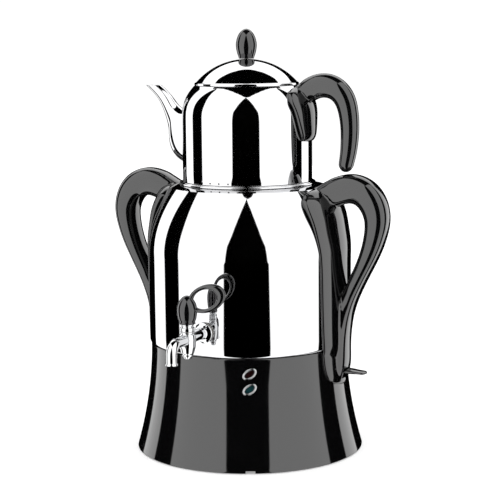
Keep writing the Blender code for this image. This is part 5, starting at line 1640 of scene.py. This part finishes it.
        reshaped(
            body,
            Change.CUT,
            rod_tool("plug_bore", bore, low, top + OVERRUN, self.axis, self.bore_sides),
            rod_tool("shank_bore", self.bore_radius, end - OVERRUN, 0, self.outwards),
            self.pipe("water_way", way, np.full(len(way), self.nozzle_bore), self.water_sides),
        )
        shop.deliver(body, Slot.CHROME, BodyName.BASE, ["tap_body"], self.casting_crease)

    def build_rings(self, shop: Workshop) -> None:
        """Outer gasket behind the flange and the gland nut on top of the barrel.

        Args:
            shop: The workshop that finishes the pieces.
        """
        back = -self.standoff + self.form.clearance
        hole = self.shank_radius + self.form.clearance
        edge, front = self.flange_radius * self.washer_share, back + self.gasket_thickness
        soft = self.washer_round
        washer = [(hole, back, 0), (edge, back, soft), (edge, front, soft), (hole, front, 0)]
        grid = moved(spun(rounded(washer, closed=True), self.washer_sides), self.outwards)
        gasket = sheet_piece("flange_gasket", grid, wrap_rows=True)
        shop.deliver(gasket, Slot.SILICONE, BodyName.BASE, ["tap_gasket_outer"])

        low = self.barrel_top + self.form.clearance
        tall, wide = self.gland_height, self.barrel_radius
        bore, soft = self.plug_radius + self.form.clearance, self.gland_bore_round
        outside = [(wide * out, low + tall * up, fillet) for out, up, fillet in self.gland_rows]
        gland = [(bore, low, soft), *outside, (bore, low + tall, soft)]
        grid = moved(spun(rounded(gland, closed=True), self.nut_sides), self.axis)
        nut = sheet_piece("gland_nut", grid, wrap_rows=True)
        shop.deliver(nut, Slot.CHROME, BodyName.BASE, ["tap_gland"])

    def build_key(self, shop: Workshop) -> None:
        """Egg-shaped key joined to its oval ring, and the plug under it.

        Args:
            shop: The workshop that finishes the pieces.
        """
        foot = self.barrel_top + self.gland_height + 2 * self.form.clearance
        shape = flowing(self.key_shares, self.key_rows) * (self.key_radius, self.key_height) + (0, foot)
        shape[:, 0] = np.maximum(shape[:, 0], 0)
        shape[-1, 0] = 0
        outline = np.vstack([[(0, foot)], shape])
        key = sheet_piece("tap_handle", moved(spun(outline, self.key_sides), self.axis))
        rows, columns = self.ring_grid
        stations = np.linspace(0, 2 * math.pi, rows, endpoint=False)[:, None]
        half_long, half_tall = self.ring_length / 2, self.ring_height / 2
        inner_half = half_long - (self.near_band + self.far_band) / 2
        inner_tall = half_tall - self.side_band
        shift = (self.near_band - self.far_band) / 2
        outer = np.hstack([half_long * np.cos(stations), half_tall * np.sin(stations)])
        inner = np.hstack([shift + inner_half * np.cos(stations), inner_tall * np.sin(stations)])
        across, along = circle_shares(columns, self.ring_power)
        flat = (outer + inner)[:, None] / 2 + (outer - inner)[:, None] / 2 * across[:, None]
        depth = np.broadcast_to(self.ring_thickness / 2 * along, flat.shape[:2])
        grid = np.stack([flat[..., 0], depth, flat[..., 1]], -1)
        middle = Matrix.Translation((self.ring_reach, 0, foot + self.ring_rise))
        lean = middle @ Matrix.Rotation(-self.ring_tilt, 4, "Y")
        place = self.axis @ Matrix.Rotation(self.rest_angle, 4, "Z") @ lean
        ring = sheet_piece("key_ring", moved(grid, place), wrap_rows=True)
        reshaped(key, Change.JOIN, ring)
        bore = self.plug_radius + self.form.clearance
        rise = self.plug_rise + self.form.clearance
        reshaped(key, Change.CUT, rod_tool("plug_socket", bore, foot - OVERRUN, rise, self.axis))
        shop.deliver(key, Slot.BLACK, BodyName.KEY, ["tap_key"])

        plug = [
            (0, -self.plug_drop, 0),
            (self.plug_radius, -self.plug_drop, self.plug_ease),
            (self.plug_radius, self.plug_rise, self.plug_ease),
            (0, self.plug_rise, 0),
        ]
        spindle = sheet_piece("tap_spindle", moved(spun(rounded(plug), self.plug_sides), self.axis))
        way = 2 * self.plug_radius
        crossing = rod_tool("plug_way", self.bore_radius, -way, way, self.axis @ facing((1, 0, 0)))
        reshaped(spindle, Change.CUT, crossing)
        shop.deliver(spindle, Slot.BRASS, BodyName.KEY, ["tap_plug"])

    def build(self, shop: Workshop) -> None:
        """Builds every piece of the tap."""
        self.build_body(shop)
        self.build_rings(shop)
        self.build_key(shop)


@dataclass
class Teapot:
    """Steel teapot with its spout and hook handle; heights are measured from its lower edge."""

    form: BodyForm
    radius: float = 0.0655
    sheet: float = 0.001
    wall_height: float = 0.0614
    shoulder_height: float = 0.034
    shoulder_inset: float = 0.0127
    shoulder_power: float = 2.6
    mouth: float = 0.0475
    skirt: float = 0.008
    vent_radius: float = 0.0009
    vent_height: float = 0.0019
    vent_spacing: float = math.radians(8.6)
    vents: int = 5
    strainer_radius: float = 0.0016
    strainer_pitch: float = 0.0062
    strainer_share: float = 0.34
    spout_reach: float = 0.0494
    spout_foot: float = 0.0155
    spout_rise: float = 0.0795
    spout_half_width: float = 0.015
    spout_sheet: float = 0.001
    hook_reach: float = 0.0457
    hook_tip: float = 0.0160
    hook_rise: float = 0.0780
    hook_depth: float = 0.0236
    hook_width: float = 0.020
    pad_half_angle: float = math.radians(24)
    pad_crown: float = 0.0078
    pad_edge: float = 0.0045
    pad_edge_round: float = 0.002
    hook_end: float = 0.0075
    seam: float = 0.0014
    seam_rounds: int = 12
    mouth_rounds: tuple[float, float, float] = (0.0003, 0.0004, 0.0003)
    skirt_round: float = 0.0003
    floor_rounds: tuple[float, float] = (0.002, 0.003)
    vent_reach: float = 0.004
    strainer_ends: tuple[float, float] = (0.005, 0.003)
    hole_sides: int = 20
    shoulder_rows: int = 64
    wall_rows: int = 8
    vessel_sides: int = 224
    envelope_rows: int = 90
    envelope_sides: int = 180
    spout_grid_size: tuple[int, int] = (96, 64)
    lip_steps: int = 8
    spout_shares: tuple = (
        (-0.162, -0.010, -0.162, 0.685, 1.00),
        (0.100, 0.010, 0.010, 0.684, 1.00),
        (0.300, 0.088, 0.120, 0.690, 0.97),
        (0.408, 0.214, 0.192, 0.711, 0.87),
        (0.425, 0.352, 0.253, 0.739, 0.76),
        (0.462, 0.478, 0.314, 0.780, 0.65),
        (0.530, 0.604, 0.385, 0.837, 0.55),
        (0.623, 0.736, 0.476, 0.900, 0.47),
        (0.765, 0.863, 0.587, 0.963, 0.42),
        (1.000, 1.000, 0.666, 1.000, 0.42),
    )

    @property
    def rim(self) -> float:
        """Height of the rim above the lower edge."""
        return self.wall_height + self.shoulder_height

    @property
    def place(self) -> Matrix:
        """Where the teapot stands."""
        return Matrix.Translation((0, 0, self.form.pot_base))

    def wall(self, height: np.ndarray) -> np.ndarray:
        """Teapot radius: wall radius less the inset times the share of the shoulder to a power."""
        share = np.clip((height - self.wall_height) / self.shoulder_height, 0, 1)
        return self.radius - self.shoulder_inset * share**self.shoulder_power

    def envelope(self, name: str) -> bpy.types.Object:
        """The teapot as one plain body with a clearance, for cutting what is fixed to it.

        Args:
            name: The tool's name.

        Returns:
            The tool.
        """
        heights = np.linspace(-OVERRUN, self.rim, self.envelope_rows)
        outline = np.column_stack([self.wall(heights) + self.form.clearance, heights])
        ceiling = self.rim + self.radius
        rows = np.vstack([[(0, -OVERRUN)], outline, [(float(outline[-1, 0]), ceiling), (0, ceiling)]])
        return sheet_piece(name, moved(spun(rows, self.envelope_sides), self.place))

    def build_body(self, shop: Workshop) -> None:
        """Drawn vessel with a foot skirt, a rolled mouth, steam vents and strainer holes.

        Args:
            shop: The workshop that finishes the pieces.
        """
        heights = np.linspace(self.wall_height, self.rim, self.shoulder_rows)
        radii = self.wall(heights)
        outer = np.column_stack([radii, heights, 0 * heights])
        outer[-1, 2] = self.mouth_rounds[0]
        inner = inward(radii, heights, self.sheet)
        levels = np.linspace(0, self.wall_height, self.wall_rows)[1:-1]
        inside = self.radius - self.sheet
        corners = [
            (0, self.skirt, 0),
            (inside, self.skirt, self.floor_rounds[0]),
            (inside, 0, self.skirt_round),
            (self.radius, 0, self.skirt_round),
            *((self.radius, level, 0) for level in levels),
            *outer,
            (self.mouth, self.rim, self.mouth_rounds[1]),
            (self.mouth, self.rim - self.sheet, self.mouth_rounds[2]),
            *inner[-2::-1],
            (inside, self.skirt + self.sheet, self.floor_rounds[1]),
            (0, self.skirt + self.sheet, 0),
        ]
        body = sheet_piece("teapot_vessel", moved(spun(rounded(corners), self.vessel_sides), self.place))
        reshaped(body, Change.CUT, *self.vent_tools(), *self.strainer_tools())
        shop.deliver(body, Slot.STEEL, BodyName.TEAPOT, ["teapot_body", "teapot_floor"])

    def vent_tools(self) -> list[bpy.types.Object]:
        """Rods for the steam vents in the foot skirt, a fan of them in front and one behind.

        Returns:
            The rods.
        """
        tools = []
        level = self.place @ Matrix.Translation((0, 0, self.vent_height))
        low, high = self.radius - self.vent_reach, self.radius + self.vent_reach
        for group in (-math.pi / 2, math.pi / 2):
            for step in range(self.vents):
                turn = group + (step - (self.vents - 1) / 2) * self.vent_spacing
                spot = level @ facing((math.cos(turn), math.sin(turn), 0))
                tools.append(rod_tool("vent", self.vent_radius, low, high, spot, self.hole_sides))
        return tools

    def strainer_tools(self) -> list[bpy.types.Object]:
        """Rods for the strainer's holes, three rows of three behind the spout.

        Returns:
            The rods.
        """
        tools = []
        middle = self.spout_foot + self.spout_rise * self.strainer_share
        low, high = self.radius - self.strainer_ends[0], self.radius + self.strainer_ends[1]
        for row in (-1, 0, 1):
            for column in (-1, 0, 1):
                spot = (0, column * self.strainer_pitch, middle + row * self.strainer_pitch)
                place = self.place @ Matrix.Translation(spot) @ facing((-1, 0, 0))
                tools.append(rod_tool("strainer", self.strainer_radius, low, high, place, self.hole_sides))
        return tools

    def spout_grid(self, inset: float) -> np.ndarray:
        """Ovals through a lower and an upper point each, drawn in by an inset.

        Args:
            inset: How far inside the outer skin it lies.

        Returns:
            The grid of points.
        """
        rows, columns = self.spout_grid_size
        low_out, low_up, high_out, high_up, wide = flowing(self.spout_shares, rows, spread=4).T
        reach, rise = self.spout_reach, self.spout_rise
        low = np.column_stack([-self.radius - low_out * reach, self.spout_foot + low_up * rise])
        high = np.column_stack([-self.radius - high_out * reach, self.spout_foot + high_up * rise])
        half = (high - low) / 2
        size = np.linalg.norm(half, axis=1, keepdims=True)
        drawn = half / size * (size - inset)
        middle = (high + low) / 2
        side = self.spout_half_width * wide[:, None] - inset
        across, along = circle_shares(columns)
        flat = middle[:, None] + drawn[:, None] * across[:, None]
        return np.stack([flat[..., 0], side * along, flat[..., 1]], -1)

    def build_spout(self, shop: Workshop) -> None:
        """Goose neck: outer and inner skin joined by a rounded lip, cut to the teapot's wall.

        Args:
            shop: The workshop that finishes the pieces.
        """
        outer, inner = self.spout_grid(0), self.spout_grid(self.spout_sheet)
        lip_middle = (outer[-1] + inner[-1]) / 2
        lip_half = (outer[-1] - inner[-1]) / 2
        turns = np.linspace(0, math.pi, self.lip_steps)[1:-1, None, None]
        up = np.array((0, 0, self.spout_sheet / 2))
        lip = lip_middle + lip_half * np.cos(turns) + up * np.sin(turns)
        end = [outer[-1:] - up, lip - up, inner[-1:] - up]
        grid = np.concatenate([outer[:-1], *end, inner[-2::-1]])
        spout = sheet_piece("goose_neck_spout", moved(grid, self.place), wrap_rows=True)
        reshaped(spout, Change.CUT, self.envelope("pot_wall"))
        shop.deliver(spout, Slot.STEEL, BodyName.TEAPOT, ["teapot_spout"])

    def build_hook(self, shop: Workshop) -> None:
        """Pad on the wall joined to the open hook.

        Args:
            shop: The workshop that finishes the pieces.
        """
        foot, rise = self.hook_tip, self.hook_rise
        section = (self.pad_half_angle, self.pad_crown, self.pad_edge, self.pad_edge_round)
        pad = PadForm(HOOK_PAD_SHARES, foot, rise, *section)
        sizes = (self.radius, self.hook_reach, foot, rise, self.hook_depth, self.hook_width)
        bar = BarForm(HOOK_SHARES, *sizes, tip=self.hook_end)
        grid = moved(pad.grid(self.wall, self.form.clearance), self.place)
        hook = sheet_piece("hook_handle", grid, caps=True)
        grip = sheet_piece("hook_bar", moved(bar.grid(), self.place), caps=True)
        reshaped(grip, Change.CUT, self.envelope("pot_wall"))
        reshaped(hook, Change.JOIN, grip)
        points = mesh_points(hook) - (0, 0, self.form.pot_base)
        soften_seam(hook, points, self.wall, bar, pad, self.seam, self.seam_rounds)
        shop.deliver(hook, Slot.BLACK, BodyName.TEAPOT, ["teapot_handle"])

    def build(self, shop: Workshop) -> None:
        """Builds every piece of the teapot."""
        self.build_body(shop)
        self.build_spout(shop)
        self.build_hook(shop)


@dataclass
class Lid:
    """Domed lid with its knob; heights are measured from its underside rim."""

    form: BodyForm
    pot_rim: float
    radius: float = 0.0525
    sheet: float = 0.001
    rim_height: float = 0.0024
    rim_round: float = 0.0006
    rim_step: float = 0.0016
    dome_radius: float = 0.068
    skirt_depth: float = 0.0065
    mouth: float = 0.0475
    knob_radius: float = 0.0105
    knob_height: float = 0.0297
    screw_hole: float = 0.0023
    screw_bite: float = 0.010
    dome_round: float = 0.0004
    skirt_round: float = 0.0003
    outer_rows: int = 60
    inner_rows: int = 40
    dome_sides: int = 224
    knob_rows: int = 72
    knob_sides: int = 96
    knob_shares: tuple = (
        (0.72, 0.00),
        (0.75, 0.05),
        (0.85, 0.15),
        (0.96, 0.31),
        (1.00, 0.46),
        (0.94, 0.62),
        (0.78, 0.78),
        (0.53, 0.905),
        (0.28, 0.975),
        (0.00, 1.00),
    )

    @property
    def place(self) -> Matrix:
        """Where the lid lies."""
        return Matrix.Translation((0, 0, self.form.pot_base + self.pot_rim + self.form.clearance))

    @property
    def apex(self) -> float:
        """Height of the dome's highest point."""
        edge = self.radius - self.rim_step
        sag = self.dome_radius - math.sqrt(self.dome_radius**2 - edge**2)
        return self.rim_height + self.rim_round + sag

    def dome(self, radius: np.ndarray, drop: float = 0.0) -> np.ndarray:
        """Height of the dome: a sphere's cap under the apex."""
        return self.apex - drop - self.dome_radius + np.sqrt(self.dome_radius**2 - radius**2)

    def build(self, shop: Workshop) -> None:
        """Builds the dome and the knob."""
        self.build_dome(shop)
        self.build_knob(shop)

    def build_dome(self, shop: Workshop) -> None:
        """Drawn dome with a rolled rim, a skirt that sits in the teapot's mouth, and the screw's hole.

        Args:
            shop: The workshop that finishes the pieces.
        """
        outer = np.linspace(self.screw_hole, self.radius - self.rim_step, self.outer_rows)
        skirt = self.mouth - 2 * self.form.clearance
        inner = np.linspace(skirt - self.sheet, self.screw_hole, self.inner_rows)
        top = np.column_stack([outer, self.dome(outer), 0 * outer])
        top[-1, 2] = self.dome_round
        corners = [
            *top,
            (self.radius, self.rim_height, self.rim_round),
            (self.radius, 0, self.rim_round),
            (skirt, 0, self.skirt_round),
            (skirt, -self.skirt_depth, self.skirt_round),
            (skirt - self.sheet, -self.skirt_depth, self.skirt_round),
            *np.column_stack([inner, self.dome(inner, self.sheet), 0 * inner]),
        ]
        grid = spun(rounded(corners, closed=True), self.dome_sides)
        dome = sheet_piece("lid_shell", moved(grid, self.place), wrap_rows=True)
        shop.deliver(dome, Slot.STEEL, BodyName.LID, ["lid_dome"])

    def build_knob(self, shop: Workshop) -> None:
        """Egg-shaped knob, bored from below for its screw.

        Args:
            shop: The workshop that finishes the pieces.
        """
        foot = self.apex + self.form.clearance
        shape = flowing(self.knob_shares, self.knob_rows) * (self.knob_radius, self.knob_height) + (0, foot)
        shape[-1, 0] = 0
        grid = spun(np.vstack([[(0, foot)], shape]), self.knob_sides)
        knob = sheet_piece("lid_handle", moved(grid, self.place))
        tip = foot + self.screw_bite + self.form.clearance
        reshaped(knob, Change.CUT, rod_tool("screw_bore", self.screw_hole, foot - OVERRUN, tip, self.place))
        shop.deliver(knob, Slot.BLACK, BodyName.LID, ["lid_knob"])


@dataclass(frozen=True)
class Studio:
    """White studio: a camera at the photograph's place, a pale floor, and lamps with dark gaps between.

    Angles are in degrees. Azimuths are counted from the camera's side, elevations from the horizon. Only
    reflections see the dark gaps; diffuse light is even, and the background is plain.
    """

    azimuth: float = 25.5
    pitch: float = 8.3
    distance: float = 1.515
    eye: float = 0.420
    aim: float = 0.065
    roll: float = 0.55
    lens: float = 108.0
    sensor: float = 36.0
    far_clip: float = 20.0
    floor_level: float = -0.003
    floor_size: float = 6.0
    floor_white: float = 0.97
    daylight: float = 1.06
    floor_glow: float = 0.30
    glow: float = 2.0
    front_shift: float = 2.5
    front_widths: tuple = (
        (-12, 26.8), (-9, 25.6), (-5, 24), (5, 23), (13, 22), (24, 17.8),
        (32, 15.2), (40, 11.8), (48, 7.5), (57, 0), (90, 0),
    )
    side_gap: tuple[float, float] = (86.8, 112.0)
    side_bend: float = 0.0123
    side_bend_start: float = 15.0
    side_top: float = 55.0
    back_gap: float = 137.5
    back_tops: tuple = ((120, 34), (137, 31), (147, 28), (157, 26), (166, 25.5), (180, 26))
    ceiling_gap: tuple = (
        (0, 56.5), (8, 58), (16, 62), (31, 66), (57, 68.5), (81, 67), (98, 63),
        (109, 57), (116, 50), (127, 52.7), (138, 58), (156, 62.5), (180, 63),
    )
    softness: float = 0.6

    def place_camera(self) -> bpy.types.Object:
        """Makes the camera: looking along its azimuth, pitched down and rolled a little.

        Returns:
            The camera.
        """
        turn, pitch, roll = (math.radians(value) for value in (self.azimuth, self.pitch, self.roll))
        aim = math.radians(self.aim)
        right = Vector((math.cos(turn), math.sin(turn), 0))
        level = Vector((-math.sin(turn), math.cos(turn), 0))
        level = (level + right * math.tan(aim)).normalized()
        right = level.cross(Vector((0, 0, 1)))
        forward = level * math.cos(pitch) - Vector((0, 0, math.sin(pitch)))
        up = right.cross(forward)
        side = right * math.cos(roll) - up * math.sin(roll)
        top = up * math.cos(roll) + right * math.sin(roll)
        spot = Vector((math.sin(turn), -math.cos(turn), 0)) * self.distance + Vector((0, 0, self.eye))
        data = bpy.data.cameras.new("camera")
        data.lens = self.lens
        data.sensor_width = self.sensor
        data.clip_end = self.far_clip
        camera = bpy.data.objects.new("camera", data)
        bpy.context.scene.collection.objects.link(camera)
        turn_matrix = Matrix((side, top, -forward)).transposed().to_4x4()
        camera.matrix_world = Matrix.Translation(spot) @ turn_matrix
        bpy.context.scene.camera = camera
        return camera

    def lay_floor(self) -> None:
        """A pale floor that carries the soft shadow under the feet."""
        half = self.floor_size / 2
        corners = np.array([[(-half, -half), (half, -half)], [(-half, half), (half, half)]])
        grid = np.concatenate([corners, np.full((2, 2, 1), self.floor_level)], -1)
        floor = sheet_piece("floor", grid, wrap_columns=False)
        material, shader = new_material("pale_floor")
        inputs = {
            "Base Color": (self.floor_white,) * 3 + (1,),
            "Roughness": 1.0,
            "Specular IOR Level": 0.0,
            "Emission Color": (1, 1, 1, 1),
            "Emission Strength": self.floor_glow,
        }
        shader.surface(inputs)
        floor.data.materials.append(material)
        floor.visible_glossy = False

    def dark_gaps(self, shader: Shader) -> Term:
        """How bright the studio is in a direction: 1 on a lamp and 0 in a gap.

        Each gap is a product of smooth steps over bearing and elevation, and the gaps are merged by
        their maximum.

        Args:
            shader: The world's shader.

        Returns:
            The brightness.
        """
        way = shader.term("ShaderNodeTexCoord", "Generated")
        turn = math.radians(self.azimuth)
        toward = (math.sin(turn), -math.cos(turn), 0)
        beside = (math.cos(turn), math.sin(turn), 0)
        dot = {"operation": "DOT_PRODUCT"}
        ahead, aside, height = (
            shader.term("ShaderNodeVectorMath", "Value", dot, {0: way, 1: axis})
            for axis in (toward, beside, (0, 0, 1))
        )
        bearing = ahead.math("ARCTAN2", aside, ahead) * math.degrees(1)
        azimuth = abs(bearing)
        elevation = height.math("ARCSINE", height.highest(-1).lowest(1)) * math.degrees(1)
        soft = (-self.softness, self.softness)
        width = shader.curve(elevation, self.front_widths)
        front = (width - abs(bearing + self.front_shift)).rise(*soft)
        bend = (elevation - self.side_bend_start).highest(0)
        side = (azimuth - self.side_gap[0] - bend * bend * self.side_bend).rise(*soft)
        side = side * (self.side_gap[1] - azimuth).rise(*soft)
        side = side * (self.side_top - elevation).rise(*soft)
        back = (azimuth - self.back_gap).rise(*soft)
        back = back * (shader.curve(azimuth, self.back_tops) - elevation).rise(*soft)
        ceiling = (elevation - shader.curve(azimuth, self.ceiling_gap)).rise(*soft)
        return 1 - front.highest(side).highest(back).highest(ceiling)

    def light(self) -> None:
        """Makes the world: even for diffuse light and background, and gapped for reflections."""
        world = bpy.data.worlds.new("studio")
        world.use_nodes = True
        bpy.context.scene.world = world
        shader = Shader(world.node_tree)
        seen = shader.node("ShaderNodeLightPath")
        glossy = Term(shader, seen.outputs["Is Glossy Ray"])
        strength = (1 - glossy) * self.daylight + glossy * self.dark_gaps(shader) * self.glow
        inputs = {"Color": (1, 1, 1, 1), "Strength": strength}
        background = shader.node("ShaderNodeBackground", None, inputs)
        shader.node("ShaderNodeOutputWorld", None, {"Surface": background.outputs[0]})
        settings = bpy.context.scene.view_settings
        settings.view_transform = "Standard"
        settings.look = "None"

    def build(self) -> None:
        """Builds the studio."""
        self.place_camera()
        self.lay_floor()
        self.light()


def finishes() -> dict[Slot, bpy.types.Material]:
    """Makes every material of the samovar, by slot.

    Returns:
        The materials.
    """
    base = Base(BodyForm())
    # Centres of the painted glow on the two lenses.
    places = [base.wall_place(base.panel_angle, height) for height in base.lamp_heights]
    glow_middles = [tuple(place.translation) for place in places]
    recipes = {
        Slot.STEEL: MetalFinish((0.59, 0.59, 0.595), roughness=0.025, smudge=0.012),
        Slot.CHROME: MetalFinish(
            (0.63, 0.635, 0.64), roughness=0.02, smudge=0.01, stretch=(500, 500, 500), line_depth=1e-7
        ),
        Slot.BLACK: MouldedFinish(
            (0.002, 0.002, 0.0022), roughness=0.045, wear=0.02, texture_depth=4e-7, texture_scale=350,
            refraction=1.7,
        ),
        Slot.DULL: MouldedFinish(
            (0.028, 0.028, 0.028), roughness=0.45, wear=0.08, texture_depth=1.2e-5, texture_scale=1600
        ),
        Slot.RUBBER: MouldedFinish(
            (0.018, 0.018, 0.018), roughness=0.75, wear=0.1, texture_depth=2e-5, texture_scale=1200
        ),
        Slot.ZINC: MetalFinish(
            (0.60, 0.60, 0.57), roughness=0.32, smudge=0.08, stretch=(200, 200, 1200), line_depth=3e-6
        ),
        Slot.ALUMINIUM: MetalFinish(
            (0.68, 0.68, 0.68), roughness=0.40, smudge=0.1, stretch=(60, 60, 60), line_depth=1e-6,
            pit_depth=3e-5, pit_scale=700,
        ),
        Slot.BRASS: MetalFinish(
            (0.72, 0.53, 0.24), roughness=0.22, smudge=0.08, stretch=(100, 1500, 100), line_depth=2e-6
        ),
        Slot.SILICONE: MouldedFinish(
            (0.72, 0.69, 0.64), roughness=0.55, wear=0.08, texture_depth=6e-6, texture_scale=900,
            second=(0.66, 0.63, 0.58),
        ),
        # Each lens's second colour is its painted glow, lighter than its rim colour.
        Slot.RED_LENS: LensFinish((0.003, 0.001, 0.001), (0.010, 0.002, 0.002), glow_middles[0]),
        Slot.GREEN_LENS: LensFinish((0.001, 0.004, 0.005), (0.006, 0.035, 0.040), glow_middles[1]),
    }
    return {slot: recipe.make(slot.value) for slot, recipe in recipes.items()}


def main() -> None:
    """Builds the studio and every sub-assembly, then dresses the nodes that stay."""
    logging.basicConfig(level=logging.INFO, format="%(name)s: %(message)s")
    Studio().build()
    shop = Workshop(finishes())
    form = BodyForm()
    teapot = Teapot(form)
    parts = (Base(form), Boiler(form), LoopHandles(form), Tap(form), teapot, Lid(form, teapot.rim))
    for part in parts:
        part.build(shop)
        LOG.info("%s is built", type(part).__name__)
    shop.dress_nodes(frame["record"], frame["nodes"])


if __name__ == "__main__":
    main()
